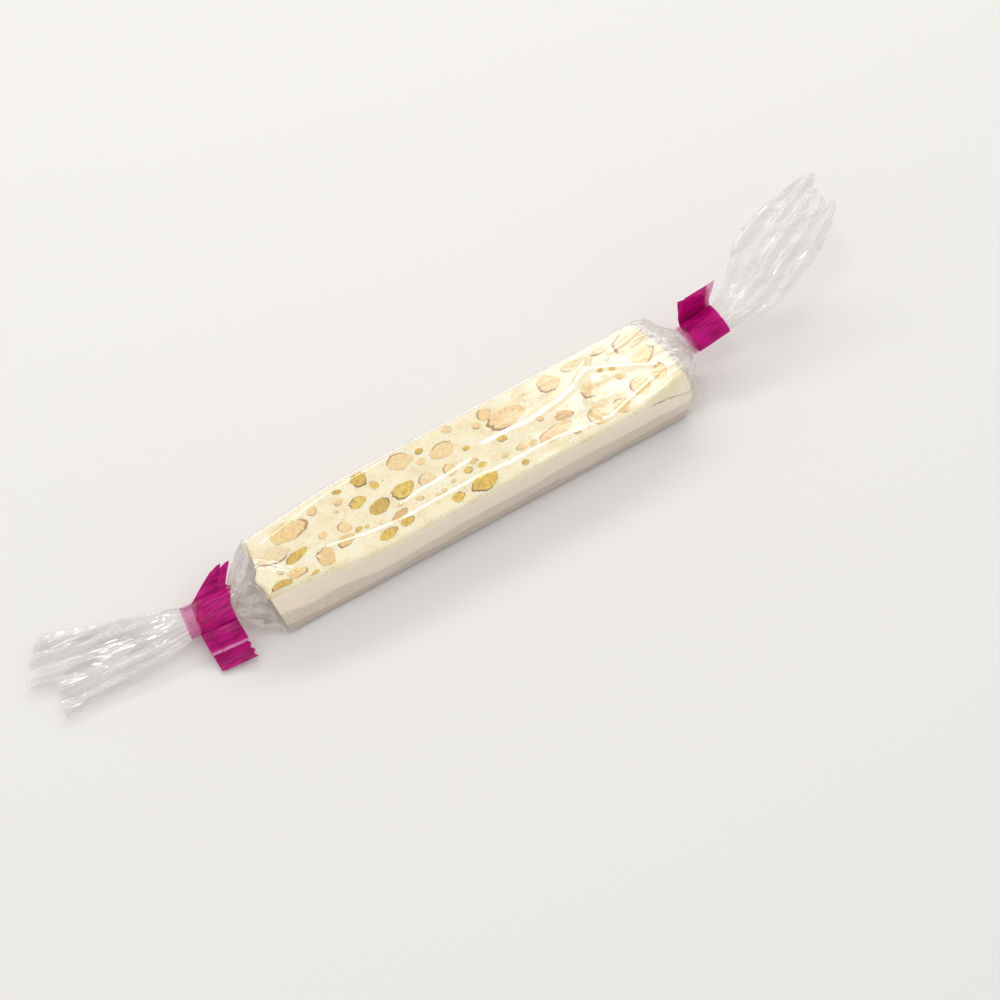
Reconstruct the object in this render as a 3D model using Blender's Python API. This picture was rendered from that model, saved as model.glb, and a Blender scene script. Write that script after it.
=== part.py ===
"""A bar of nougat with whole almonds and pistachios, wrapped in clear film.

The bar is a cut slab of paste between two sheets of wafer. The film goes round it as a
sleeve, is gathered past each end, held there by a strip of coloured tape, and fans out
into a pleated tail. X runs along the bar, the front wafer faces -Y, Z is up, and the
wrapped bar rests on z = 0 with the origin under its middle. Lengths below are in
millimetres; meshes are made in metres.
"""

import math
import random

import bmesh
import bpy
from mathutils import Matrix, Vector

MM = 0.001
SEED = 7
WELD = 0.001

# The paste: its cut faces are the top and the bottom
PASTE_WIDTH = 28.6
PASTE_LOW = 1.0
PASTE_HIGH = 19.2
PASTE_EDGE = 0.8

# The two ends lean: where they meet the top at y = 0, how they swing with y, and how far
# each is undercut at the bottom
LEFT_END = -75.3
LEFT_SWING = 0.115
LEFT_UNDERCUT = 4.0
RIGHT_END = 74.6
RIGHT_SWING = -0.2
RIGHT_UNDERCUT = 2.5

# Wafer sheets, how far their top edge stays below the cut face, and the gaps between
# touching pieces
WAFER = 0.5
WAFER_SHORT = 1.6
GAP = 0.3

# Nuts pressed flush into the cut faces: how far they stand out and how deep they go in
RELIEF_LEAST = 0.14
RELIEF_MOST = 0.3
NUT_DEPTH = 1.5
NUT_SIDES = 12
NUT_SLOPE = 0.8
NUT_WANDER = 0.07
NUT_POINT = 0.22

# How far nuts stay from the rim of a cut face: its long sides, its ends and its worn edges
RIM_SIDE = 0.4
RIM_END = 1.2
RIM_WORN = 0.8

# Film, and the room that it leaves for the relief on the faces under it
FILM = 0.4
CLEAR = GAP + RELIEF_MOST
SEAM_Y = 7.0
SEAM_WIDTH = 0.8
SEAM_LENGTH = 134.0
SEAM_DEPTH = 3.0
SEGMENTS = 24

# Flats along the top edges, each given by three points of the film over it: the worn corner
# near the right end, then the two edges that the film has drawn in towards the left end
WORN_CORNERS = (
    ((49.0, -15.5, 20.2), (77.0, -10.2, 20.2), (75.0, -15.5, 14.0)),
    ((-38.0, -15.8, 20.2), (-77.5, -11.3, 20.2), (-75.0, -15.8, 4.0)),
    ((-46.0, 15.8, 20.2), (-75.0, 12.6, 20.2), (-73.0, 15.8, 6.0)),
)
# Where the film has more sections to follow those flats: shares of the way to that end
RIGHT_SECTIONS = (48.0, (0.0, 0.35, 0.7))
LEFT_SECTIONS = (-37.0, (0.75, 0.5, 0.24, 0.0))
SIDE_STEPS = 4
TOP_STEPS = 10
CORNER_STEPS = 3

# Necks: centre under the tape, heading and rise of the axis towards +X, in degrees
LEFT_NECK = (-92.4, 1.0, 7.0)
LEFT_HEADING = -10.0
LEFT_RISE = 10.0
RIGHT_NECK = (92.3, 3.3, 13.4)
RIGHT_HEADING = 2.0
RIGHT_RISE = 8.0
NECK_LENGTH = 14.0
NECK_HALF_WIDTH = 5.3
NECK_HALF_THICKNESS = 2.4

# Gathers between the bar and the necks
GATHER_STEPS = 5
GATHER_PLEAT = 0.8
LEFT_GATHER_EASE = 1.0
RIGHT_GATHER_EASE = 1.35

# Tails
TAIL_STEPS = 7
TAIL_LENGTH = 48.0
TAIL_HALF_THICKNESS = 0.5
TAIL_PLEAT = 1.9
TAIL_THINS = 1.5
TAIL_PLEATS_GROW = 1.4
LEFT_TAIL_HALF_WIDTH = 15.0
LEFT_TAIL_SPREAD = 0.65
LEFT_TAIL_LOW = 2.9
LEFT_TAIL_DROP = (1.6, 0.7)
RIGHT_TAIL_BULGE = 7.8
RIGHT_TAIL_WIDEST = 0.82
RIGHT_TAIL_MEAN_TURN = 0.8
RIGHT_TAIL_MEAN_RISE = 0.9
RIGHT_TAIL_TURN = 22.0
RIGHT_TAIL_LIFT = 10.0

# The free edges of the tails: place across the tail from -1 to 1, and how far the edge
# stands towards +X there
LEFT_EDGE = ((-1.0, 8.0), (-0.6, 4.5), (-0.25, 6.5), (0.1, 0.0), (0.5, -3.0), (1.0, 3.0))
RIGHT_EDGE = ((-1.0, -1.0), (-0.4, 1.0), (0.0, 4.0), (0.3, 4.5), (1.0, -3.5))

# Tape
TAPE_WIDTH = 12.5
TAPE = 0.5

# Tabs of tape, a little narrower than the band: points across the neck from its middle,
# how far the free edge slants towards +X, how much further the tab reaches on its +X side,
# where the cut across it levels out, and which share of its width is folded away at the edge
TAB_WIDTH = 12.4
TAB_SEGMENTS = 12
TAB_LEVEL = 0.7
LEFT_FRONT_TAB = ((-5.85, 0.0), (-8.4, -0.8), (-12.0, -3.2), (-15.0, -5.0), (-17.6, -5.5))
LEFT_REAR_TAB = ((5.85, 0.0), (7.7, 1.0), (9.2, 2.6), (10.4, 4.6))
RIGHT_REAR_TAB = ((5.85, 0.0), (6.9, 2.2), (7.1, 6.0), (7.8, 11.0))
LEFT_FRONT_SLANT = 1.6
LEFT_REAR_SLANT = 10.0
RIGHT_REAR_SLANT = 2.9
LEFT_REAR_REACH = 1.4
RIGHT_REAR_REACH = -2.5
LEFT_REAR_TAPER = 0.6
BORE_ROOM = 6.0

# The larger nuts that show on top: x, y, length, width, turn in degrees
TOP_NUTS = (
    (-59.7, 6.9, 13.4, 6.9, 2.0),
    (-68.0, 1.8, 11.1, 6.2, -6.0),
    (-61.6, -2.4, 8.8, 3.1, 12.0),
    (-64.2, -7.4, 6.5, 3.5, -8.0),
    (-71.0, -9.4, 7.6, 4.6, 10.0),
    (-54.6, -6.9, 6.5, 6.2, 40.0),
    (-46.4, -5.3, 6.5, 3.8, 8.0),
    (-31.9, 9.9, 5.9, 6.2, 30.0),
    (-36.2, 4.4, 6.5, 3.8, 4.0),
    (-31.2, -0.6, 7.5, 4.8, 14.0),
    (-22.1, 0.6, 8.1, 5.5, 10.0),
    (-17.5, 9.8, 8.8, 6.2, -4.0),
    (-4.1, 6.5, 8.8, 5.5, 6.0),
    (-13.7, 0.0, 5.9, 4.8, 0.0),
    (-5.7, -0.7, 4.6, 4.8, 20.0),
    (-33.9, -10.2, 6.5, 3.5, 10.0),
    (-27.4, -6.2, 6.5, 3.1, 16.0),
    (-8.6, -10.6, 4.6, 3.5, 0.0),
    (6.7, 6.7, 4.6, 5.8, 80.0),
    (19.6, 5.8, 13.0, 7.3, 4.0),
    (1.3, -9.6, 10.4, 6.4, 12.0),
    (29.6, -6.6, 11.8, 4.8, 6.0),
    (37.4, 9.4, 7.8, 6.8, -20.0),
    (46.7, 10.9, 6.8, 3.5, 0.0),
    (47.5, 0.7, 7.2, 6.2, 10.0),
    (44.6, -8.3, 7.2, 7.2, -50.0),
    (66.8, 9.0, 12.1, 7.6, 5.0),
    (68.4, 1.6, 8.6, 5.8, 22.0),
    (61.4, -5.8, 6.8, 6.6, 40.0),
    (53.6, -8.6, 5.9, 5.6, 20.0),
)
BOTTOM_NUTS = 26
SMALL_TOP_NUTS = 12
END_NUTS = 5
END_NUT_STEP = 3.9
END_NUT_ROWS = (12.6, 6.0)


def clear_scene():
    for item in list(bpy.data.objects):
        bpy.data.objects.remove(item, do_unlink=True)


def make_material(name, colour, roughness, alpha=1.0):
    material = bpy.data.materials.new(name)
    material.use_nodes = True
    shader = material.node_tree.nodes["Principled BSDF"]
    shader.inputs["Base Color"].default_value = (*colour, 1.0)
    shader.inputs["Roughness"].default_value = roughness
    shader.inputs["Metallic"].default_value = 0.0
    shader.inputs["Alpha"].default_value = alpha
    return material


def make_object(name, bm, material=None, smooth=False):
    """Turn a bmesh in millimetres into an object in metres."""
    bmesh.ops.recalc_face_normals(bm, faces=bm.faces)
    bmesh.ops.scale(bm, vec=(MM, MM, MM), verts=bm.verts)
    mesh = bpy.data.meshes.new(name)
    bm.to_mesh(mesh)
    bm.free()
    if smooth:
        mesh.shade_smooth()
        mesh.set_sharp_from_angle(angle=math.radians(40.0))
    if material:
        mesh.materials.append(material)
    made = bpy.data.objects.new(name, mesh)
    bpy.context.scene.collection.objects.link(made)
    return made


def apply_boolean(target, tools, operation):
    """Join the tool objects to the target, or cut them from it, and remove them."""
    group = bpy.data.collections.new("tools")
    for tool in tools:
        group.objects.link(tool)
    cut = target.modifiers.new("cut", "BOOLEAN")
    cut.operation = operation
    cut.operand_type = "COLLECTION"
    cut.collection = group
    cut.solver = "EXACT"
    depsgraph = bpy.context.evaluated_depsgraph_get()
    result = bpy.data.meshes.new_from_object(target.evaluated_get(depsgraph))
    welded = bmesh.new()
    welded.from_mesh(result)
    bmesh.ops.remove_doubles(welded, verts=welded.verts, dist=WELD * MM)
    welded.to_mesh(result)
    welded.free()
    target.modifiers.clear()
    spent = target.data
    target.data = result
    bpy.data.meshes.remove(spent)
    for tool in tools:
        bpy.data.objects.remove(tool, do_unlink=True)
    bpy.data.collections.remove(group)


def blend(a, b, share):
    return a + (b - a) * share


def left_end(y, z):
    drop = (PASTE_HIGH - z) / (PASTE_HIGH - PASTE_LOW)
    return LEFT_END + LEFT_SWING * y + LEFT_UNDERCUT * drop


def right_end(y, z):
    drop = (PASTE_HIGH - z) / (PASTE_HIGH - PASTE_LOW)
    return RIGHT_END + RIGHT_SWING * y - RIGHT_UNDERCUT * drop


def end_placing(end, side, y, z):
    """A frame on a leaning end, with its Z square to that end."""
    slope_y = end(1.0, z) - end(0.0, z)
    slope_z = end(y, 1.0) - end(y, 0.0)
    normal = Vector((1.0, -slope_y, -slope_z)) * side
    turn = normal.to_track_quat("Z", "Y").to_matrix().to_4x4()
    return Matrix.Translation((end(y, z), y, z)) @ turn


def worn_planes(outset):
    """A point and the outward normal of each flat along the top edges, moved out by outset."""
    planes = []
    for corner in WORN_CORNERS:
        first, second, third = (Vector(point) for point in corner)
        normal = (third - first).cross(second - first).normalized()
        if normal.z < 0.0:
            normal.negate()
        planes.append((first + normal * (outset - CLEAR - FILM), normal))
    return planes


def slab(y_low, y_high, z_low, z_high, grow, edge=0.0):
    """A length of the bar between two sides and two heights, with its leaning ends."""
    bm = bmesh.new()
    bmesh.ops.create_cube(bm, size=1.0)
    for vert in bm.verts:
        y = y_low if vert.co.y < 0 else y_high
        z = z_low if vert.co.z < 0 else z_high
        x = left_end(y, z) - grow if vert.co.x < 0 else right_end(y, z) + grow
        vert.co = (x, y, z)
    if edge:
        long_edges = [e for e in bm.edges if abs(e.verts[0].co.x - e.verts[1].co.x) > 50.0]
        bmesh.ops.bevel(
            bm, geom=long_edges, offset=edge, segments=2, profile=0.5, affect="EDGES", material=-1
        )
    for point, normal in worn_planes(grow):
        cut = bmesh.ops.bisect_plane(
            bm, geom=bm.verts[:] + bm.edges[:] + bm.faces[:],
            plane_co=point, plane_no=normal, clear_outer=True,
        )
        rim = [item for item in cut["geom_cut"] if isinstance(item, bmesh.types.BMEdge)]
        if rim:
            bmesh.ops.holes_fill(bm, edges=rim, sides=0)
    return bm


def nut(placing, length, width, relief, draw, keep_inside):
    """A low plate with an uneven almond outline, sunk into the face that it lies on."""
    bm = bmesh.new()
    bmesh.ops.create_cone(
        bm, cap_ends=True, segments=NUT_SIDES, radius1=1.0, radius2=NUT_SLOPE, depth=1.0
    )
    swell = [1.0 + draw.uniform(-NUT_WANDER, NUT_WANDER) for _ in range(NUT_SIDES)]
    for vert in bm.verts:
        side = round(math.atan2(vert.co.y, vert.co.x) / math.tau * NUT_SIDES) % NUT_SIDES
        point = 1.0 - NUT_POINT * max(0.0, vert.co.x) * abs(vert.co.y)
        height = relief if vert.co.z > 0 else -NUT_DEPTH
        outline = Vector((vert.co.x * length / 2, vert.co.y * width / 2 * point, 0)) * swell[side]
        vert.co = keep_inside(placing @ Vector((outline.x, outline.y, height)))
    return make_object("nut", bm)


def stay_on_top(co):
    """Hold a nut's outline inside the rim of a cut face."""
    rim = PASTE_WIDTH / 2 - PASTE_EDGE - RIM_SIDE
    y = max(-rim, min(rim, co.y))
    x = max(left_end(y, PASTE_HIGH) + RIM_END, min(right_end(y, PASTE_HIGH) - RIM_END, co.x))
    for point, normal in worn_planes(0.0):
        over = (Vector((x, y, PASTE_HIGH)) - point).dot(normal) + RIM_WORN
        if over > 0.0:
            y -= over / normal.y
    return Vector((x, y, co.z))


def stay_below(co):
    """The same for the bottom, where the ends are undercut."""
    rim = PASTE_WIDTH / 2 - PASTE_EDGE - RIM_SIDE
    y = max(-rim, min(rim, co.y))
    x = max(left_end(y, PASTE_LOW) + RIM_END, min(right_end(y, PASTE_LOW) - RIM_END, co.x))
    return Vector((x, y, co.z))


def scatter(count, taken, reach, draw):
    """Places for more nuts that keep clear of those already there."""
    places = []
    while len(places) < count:
        x = draw.uniform(-reach, reach)
        y = draw.uniform(-10.0, 10.0)
        length = draw.uniform(4.5, 9.5)
        clear = all(
            math.hypot((x - other[0]) / (length + other[2]), (y - other[1]) / (length + other[3])) > 0.52
            for other in taken + places
        )
        if clear:
            places.append((x, y, length, length * draw.uniform(0.5, 0.75), draw.uniform(-35.0, 35.0)))
    return places


def make_nougat(material):
    paste = slab(-PASTE_WIDTH / 2, PASTE_WIDTH / 2, PASTE_LOW, PASTE_HIGH, 0.0, PASTE_EDGE)
    bar = make_object("nougat", paste, material)
    draw = random.Random(SEED)
    nuts = []
    small = [
        (x, y, 0.45 * length, 0.45 * width, turn)
        for x, y, length, width, turn in scatter(SMALL_TOP_NUTS, list(TOP_NUTS), 70.0, draw)
    ]
    for x, y, length, width, turn in list(TOP_NUTS) + small:
        placing = Matrix.Translation((x, y, PASTE_HIGH)) @ Matrix.Rotation(math.radians(turn), 4, "Z")
        relief = draw.uniform(RELIEF_LEAST, RELIEF_MOST)
        nuts.append(nut(placing, length, width, relief, draw, stay_on_top))
    for x, y, length, width, turn in scatter(BOTTOM_NUTS, [], 66.0, draw):
        placing = (
            Matrix.Translation((x, y, PASTE_LOW))
            @ Matrix.Rotation(math.pi, 4, "X")
            @ Matrix.Rotation(math.radians(turn), 4, "Z")
        )
        relief = draw.uniform(RELIEF_LEAST, RELIEF_MOST)
        nuts.append(nut(placing, length, width, relief, draw, stay_below))
    for end, side in ((left_end, -1.0), (right_end, 1.0)):
        for step in range(END_NUTS):
            y = END_NUT_STEP * (step - (END_NUTS - 1) / 2) + draw.uniform(-0.6, 0.6)
            z = END_NUT_ROWS[step % 2]
            length, width = draw.uniform(4.5, 6.0), draw.uniform(3.2, 4.0)
            nuts.append(nut(end_placing(end, side, y, z), length, width, RELIEF_MOST, draw, Vector))
    apply_boolean(bar, nuts, "UNION")
    return bar


def make_wafer(name, side, material):
    inner = PASTE_WIDTH / 2 + GAP
    sides = sorted((side * inner, side * (inner + WAFER)))
    sheet = slab(sides[0], sides[1], PASTE_LOW - 0.1, PASTE_HIGH - WAFER_SHORT, -GAP)
    return make_object(name, sheet, material)


def axis_frame(centre, heading, rise):
    """A frame whose X runs along the wrap, Y across it and Z up."""
    turn = Matrix.Rotation(math.radians(heading), 4, "Z") @ Matrix.Rotation(math.radians(-rise), 4, "Y")
    return Matrix.Translation(centre) @ turn


def sleeve_ring(end, outset):
    """The film round the bar at one of its leaning ends: a rounded rectangle."""
    half = PASTE_WIDTH / 2 + GAP + WAFER + GAP + FILM
    low = 0.0
    high = PASTE_HIGH + CLEAR + FILM
    middle = (low + high) / 2
    edge = PASTE_EDGE + GAP + FILM
    quarter = [(-half, (high - middle - edge) * step / SIDE_STEPS) for step in range(SIDE_STEPS)]
    for step in range(CORNER_STEPS + 1):
        angle = math.pi / 2 * step / CORNER_STEPS
        quarter.append((-half + edge * (1 - math.cos(angle)), high - middle - edge * (1 - math.sin(angle))))
    flat = half - edge
    across = [(-flat + 2 * flat * step / TOP_STEPS, high - middle) for step in range(1, TOP_STEPS)]
    upper = quarter + across + [(-y, z) for y, z in reversed(quarter)]
    lower = [(y, -z) for y, z in reversed(upper[1:-1])]
    ring = []
    for y, z in upper + lower:
        point = Vector((end(y, middle + z) + outset, y, middle + z))
        for plane, normal in worn_planes(CLEAR + FILM):
            over = (point - plane).dot(normal)
            if over > 0.0:
                point -= normal * over
        ring.append(point)
    return ring


def blade_ring(placing, half_width, half_thickness, pleat=0.0, even=0.0, cut=None, segments=SEGMENTS):
    """A flat closed section: upper points from -Y to +Y, then the lower ones back.

    cut gives how far each point is moved along the wrap, from its place across it.
    """
    ring = []
    for index in range(2 * segments):
        step = index if index <= segments else 2 * segments - index
        side = 1.0 if index <= segments else -1.0
        across = blend(-math.cos(math.pi * step / segments), 2.0 * step / segments - 1.0, even)
        height = side * half_thickness * math.sqrt(max(0.0, 1.0 - across * across))
        fold = pleat * math.sin(math.pi * step / 2)
        along = cut(across) if cut else 0.0
        ring.append(placing @ Vector((along, half_width * across, height + fold)))
    return ring


def loft(rings):
    """Skin a row of closed sections and close both ends with strips."""
    bm = bmesh.new()
    loops = [[bm.verts.new(point) for point in ring] for ring in rings]
    count = len(loops[0])
    for near, far in zip(loops, loops[1:]):
        for index in range(count):
            after = (index + 1) % count
            bm.faces.new((near[index], near[after], far[after], far[index]))
    for loop in (loops[0], loops[-1]):
        for index in range(count // 2):
            corners = (loop[index], loop[index + 1], loop[count - index - 1], loop[-index])
            bm.faces.new(list(dict.fromkeys(corners)))
    bmesh.ops.triangulate(bm, faces=bm.faces)
    return bm


def edge_offset(edge, across):
    """Read the free edge of a tail between its named points."""
    for (start, low), (end, high) in zip(edge, edge[1:]):
        if across <= end:
            return blend(low, high, (across - start) / (end - start))
    return edge[-1][1]


def left_tail(share):
    """Centre, section and pleats of the left tail at a share of its length."""
    neck = axis_frame(LEFT_NECK, LEFT_HEADING, LEFT_RISE)
    start = neck @ Vector((-NECK_LENGTH / 2, 0.0, 0.0))
    run = share * TAIL_LENGTH
    heading = math.radians(LEFT_HEADING)
    centre = start - Vector((math.cos(heading), math.sin(heading), 0.0)) * run
    speed, power = LEFT_TAIL_DROP
    centre.z = blend(start.z, LEFT_TAIL_LOW, min(1.0, speed * share) ** power)
    half_width = blend(NECK_HALF_WIDTH, LEFT_TAIL_HALF_WIDTH, share**LEFT_TAIL_SPREAD)
    return axis_frame(centre, LEFT_HEADING, LEFT_RISE * (1 - share)), half_width


def right_tail(share):
    """The same for the right tail, which turns back and rises."""
    neck = axis_frame(RIGHT_NECK, RIGHT_HEADING, RIGHT_RISE)
    start = neck @ Vector((NECK_LENGTH / 2, 0.0, 0.0))
    run = share * TAIL_LENGTH
    heading = RIGHT_HEADING + RIGHT_TAIL_TURN * min(1.0, 2.0 * share)
    rise = RIGHT_RISE + RIGHT_TAIL_LIFT * share
    mean_heading = math.radians(blend(RIGHT_HEADING, heading, RIGHT_TAIL_MEAN_TURN))
    mean_rise = math.radians(blend(RIGHT_RISE, rise, RIGHT_TAIL_MEAN_RISE))
    direction = Vector((math.cos(mean_heading), math.sin(mean_heading), math.tan(mean_rise)))
    half_width = NECK_HALF_WIDTH + RIGHT_TAIL_BULGE * math.sin(math.pi * RIGHT_TAIL_WIDEST * share)
    return axis_frame(start + direction * run, heading, rise), half_width


def tail_rings(tail, edge):
    """Sections from the neck out to the free edge."""
    rings = []
    for step in range(1, TAIL_STEPS + 1):
        share = step / TAIL_STEPS
        placing, half_width = tail(share)
        thickness = blend(NECK_HALF_THICKNESS, TAIL_HALF_THICKNESS, min(1.0, TAIL_THINS * share))
        pleat = TAIL_PLEAT * min(1.0, TAIL_PLEATS_GROW * share)

        def slide(across, near_edge=share**3):
            return edge_offset(edge, across) * near_edge

        rings.append(blade_ring(placing, half_width, thickness, pleat, share**0.5, slide))
    return rings


def gather_rings(bar_ring, neck_ring, ease):
    """Sections between the bar's end and the neck, with pleats that come and go."""
    rings = []
    for step in range(1, GATHER_STEPS):
        share = step / GATHER_STEPS
        middle = sum(bar_ring, Vector()) / len(bar_ring)
        ring = []
        for index, (outer, inner) in enumerate(zip(bar_ring, neck_ring)):
            point = outer.lerp(inner, share**ease)
            point.x = blend(outer.x, inner.x, share)
            out = (outer - middle).normalized()
            out.x = 0.0
            fold = math.sin(math.pi * share) * math.sin(math.pi * index / 2)
            ring.append(point + out * GATHER_PLEAT * fold)
        rings.append(ring)
    return rings


def neck_rings(centre, heading, rise):
    placing = axis_frame(centre, heading, rise)
    return [
        blade_ring(placing @ Matrix.Translation((x, 0.0, 0.0)), NECK_HALF_WIDTH, NECK_HALF_THICKNESS)
        for x in (-NECK_LENGTH / 2, NECK_LENGTH / 2)
    ]


def worn_rings(start, shares, end):
    """Sections between start and an end of the bar, where the film follows the worn edges."""
    return [sleeve_ring(lambda y, z, s=share: blend(start, end(y, z), s), 0.0) for share in shares]


def make_film(material):
    left_bar = sleeve_ring(left_end, -CLEAR - FILM)
    right_bar = sleeve_ring(right_end, CLEAR + FILM)
    left_neck = neck_rings(LEFT_NECK, LEFT_HEADING, LEFT_RISE)
    right_neck = neck_rings(RIGHT_NECK, RIGHT_HEADING, RIGHT_RISE)
    rings = tail_rings(left_tail, LEFT_EDGE)[::-1] + left_neck
    rings += gather_rings(left_bar, left_neck[-1], LEFT_GATHER_EASE)[::-1]
    rings += [left_bar] + worn_rings(*LEFT_SECTIONS, left_end) + worn_rings(*RIGHT_SECTIONS, right_end)
    rings.append(right_bar)
    rings += gather_rings(right_bar, right_neck[0], RIGHT_GATHER_EASE) + right_neck
    rings += tail_rings(right_tail, RIGHT_EDGE)
    wrap = make_object("film_wrap", loft(rings), material, smooth=True)
    half = PASTE_WIDTH / 2 + GAP + WAFER + GAP
    low = FILM
    high = PASTE_HIGH + CLEAR
    hollow = make_object("hollow", slab(-half, half, low, high, CLEAR, PASTE_EDGE + GAP))
    seam = bmesh.new()
    bmesh.ops.create_cube(seam, size=1.0)
    bmesh.ops.scale(seam, vec=(SEAM_LENGTH, SEAM_WIDTH, SEAM_DEPTH), verts=seam.verts)
    bmesh.ops.translate(seam, vec=(0.0, SEAM_Y, 0.0), verts=seam.verts)
    apply_boolean(wrap, [hollow, make_object("seam", seam)], "DIFFERENCE")
    return wrap


def oval(placing, half_width, half_thickness, length):
    """A solid oval bar round the neck's axis."""
    shifts = (-length / 2, length / 2)
    rings = [
        blade_ring(placing @ Matrix.Translation((x, 0.0, 0.0)), half_width, half_thickness) for x in shifts
    ]
    return loft(rings)


def tab(placing, route, slant, reach, taper):
    """A flag of tape that leaves the band and follows its route to a free edge."""
    rings = []
    for index, (y, z) in enumerate(route):
        before = Vector(route[max(0, index - 1)])
        after = Vector(route[min(len(route) - 1, index + 1)])
        slope = (after - before).normalized()
        share = index / (len(route) - 1)
        ring = []
        for point in blade_ring(Matrix(), TAB_WIDTH / 2, TAPE / 2, even=1.0, segments=TAB_SEGMENTS):
            step = round((point.y / TAB_WIDTH + 0.5) * TAB_SEGMENTS)
            further = reach * share * min(1.0, step / TAB_SEGMENTS / TAB_LEVEL)
            thick = math.copysign(TAPE / 2, point.z) if 0 < step < TAB_SEGMENTS else 0.0
            local = Vector((
                point.y + slant * share - taper * share * TAB_WIDTH * step / TAB_SEGMENTS,
                y + slope.x * further - slope.y * thick,
                z + slope.y * further + slope.x * thick,
            ))
            ring.append(placing @ local)
        rings.append(ring)
    return loft(rings)


def make_tape(name, neck, tabs, material):
    placing = axis_frame(*neck)
    inner_width = NECK_HALF_WIDTH + GAP
    inner_thickness = NECK_HALF_THICKNESS + GAP
    band = make_object(
        name, oval(placing, inner_width + TAPE, inner_thickness + TAPE, TAPE_WIDTH), material, smooth=True
    )
    flags = [make_object("flag", tab(placing, *shape)) for shape in tabs]
    apply_boolean(band, flags, "UNION")
    bore = make_object("bore", oval(placing, inner_width, inner_thickness, TAPE_WIDTH + BORE_ROOM))
    apply_boolean(band, [bore], "DIFFERENCE")
    return band


def main():
    clear_scene()
    paste = make_material("nougat_paste", (0.95, 0.86, 0.62), 0.55)
    wafer = make_material("wafer", (0.60, 0.52, 0.45), 0.8)
    film = make_material("clear_film", (0.85, 0.87, 0.88), 0.12, alpha=0.35)
    tape = make_material("magenta_tape", (0.45, 0.02, 0.19), 0.3)
    make_nougat(paste)
    make_wafer("wafer_front", -1.0, wafer)
    make_wafer("wafer_back", 1.0, wafer)
    make_film(film)
    left_tabs = (
        (LEFT_FRONT_TAB, LEFT_FRONT_SLANT, 0.0, 0.0),
        (LEFT_REAR_TAB, LEFT_REAR_SLANT, LEFT_REAR_REACH, LEFT_REAR_TAPER),
    )
    right_tabs = ((RIGHT_REAR_TAB, RIGHT_REAR_SLANT, RIGHT_REAR_REACH, 0.0),)
    make_tape("tape_left", (LEFT_NECK, LEFT_HEADING, LEFT_RISE), left_tabs, tape)
    make_tape("tape_right", (RIGHT_NECK, RIGHT_HEADING, RIGHT_RISE), right_tabs, tape)


main()
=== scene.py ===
import math
import random

import bmesh
import bpy
from mathutils import Matrix, Vector, noise


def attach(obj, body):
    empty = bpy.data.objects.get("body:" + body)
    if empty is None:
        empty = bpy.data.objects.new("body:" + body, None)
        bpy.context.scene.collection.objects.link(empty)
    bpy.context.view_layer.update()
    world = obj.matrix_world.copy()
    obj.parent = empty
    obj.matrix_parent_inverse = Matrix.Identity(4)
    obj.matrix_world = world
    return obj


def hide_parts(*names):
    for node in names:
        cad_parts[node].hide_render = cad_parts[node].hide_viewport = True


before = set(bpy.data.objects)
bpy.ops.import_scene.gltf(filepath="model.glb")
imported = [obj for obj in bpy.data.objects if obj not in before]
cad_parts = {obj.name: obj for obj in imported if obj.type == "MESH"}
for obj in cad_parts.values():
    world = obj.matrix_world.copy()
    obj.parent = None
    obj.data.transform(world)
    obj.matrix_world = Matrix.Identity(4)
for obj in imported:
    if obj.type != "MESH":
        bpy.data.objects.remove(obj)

bl_info = {
    "name": "Nougat bar in film",
    "version": (1, 0, 0),
    "blender": (4, 5, 0),
    "location": "3D View > Sidebar > Nougat",
    "description": "Dresses the wrapped bar of nougat: paste, nuts, wafer sheets, clear film and tape",
    "category": "Object",
}

MM = 0.001
SEED = 11

# The bar, in millimetres: its cut faces are the top and the bottom, and its ends lean
PASTE_WIDTH = 28.6
WAFER_TOP, WAFER_LOW, WAFER_EDGE, WAFER_SUNK = 17.6, 0.8, 0.2, 0.12
PASTE_LOW = 1.0
PASTE_HIGH = 19.2
LEFT_END, LEFT_SWING, LEFT_UNDERCUT = -75.3, 0.115, 4.0
LEFT_BULGE, LEFT_BULGE_Y, LEFT_BULGE_HALF = 2.0, -4.5, 4.0
RIGHT_END, RIGHT_SWING, RIGHT_UNDERCUT = 74.6, -0.2, 2.5
RIGHT_BULGE, RIGHT_BULGE_Y, RIGHT_BULGE_HALF = 1.9, 3.0, 8.5

# Film round the bar, and the worn corner that it follows
FILM_HALF = 15.4
FILM_LOW = 0.15
FILM_HIGH = 19.85
FILM_EDGE = 1.6
# Half width of the flat top that the creases lie in, and the share of a half section that each riser takes
FILM_FLAT = 14.6
FILM_RISER = 0.15
BAR_MIDDLE = 10.0
END_ROOM = 0.8
WORN_CORNER = ((49.0, -15.5, 20.2), (77.0, -10.2, 20.2), (75.0, -15.5, 14.0))
WORN_MARGIN = 10.0
# How far behind the worn plane the paste, the nuts and the film stay
WORN_INSET, NUT_INSET, FILM_INSET = 1.0, 0.9, 0.4

# The film has drawn in the top of both sides towards the left end
DRAWN_START, DRAWN_END, DRAWN_FRONT, DRAWN_BACK = -34.0, -78.0, 4.6, 3.3
DRAWN_CURVE, DRAWN_FULL = 1.4, 12.0

# Necks: centre under the tape, heading and rise towards +X in degrees
LEFT_NECK = ((-92.4, 1.0, 7.0), -10.0, 10.0)
RIGHT_NECK = ((92.3, 3.3, 13.4), 2.0, 8.0)
NECK_LENGTH = 14.0
NECK_HALF_WIDTH = 5.0
NECK_HALF_THICKNESS = 1.9

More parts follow.
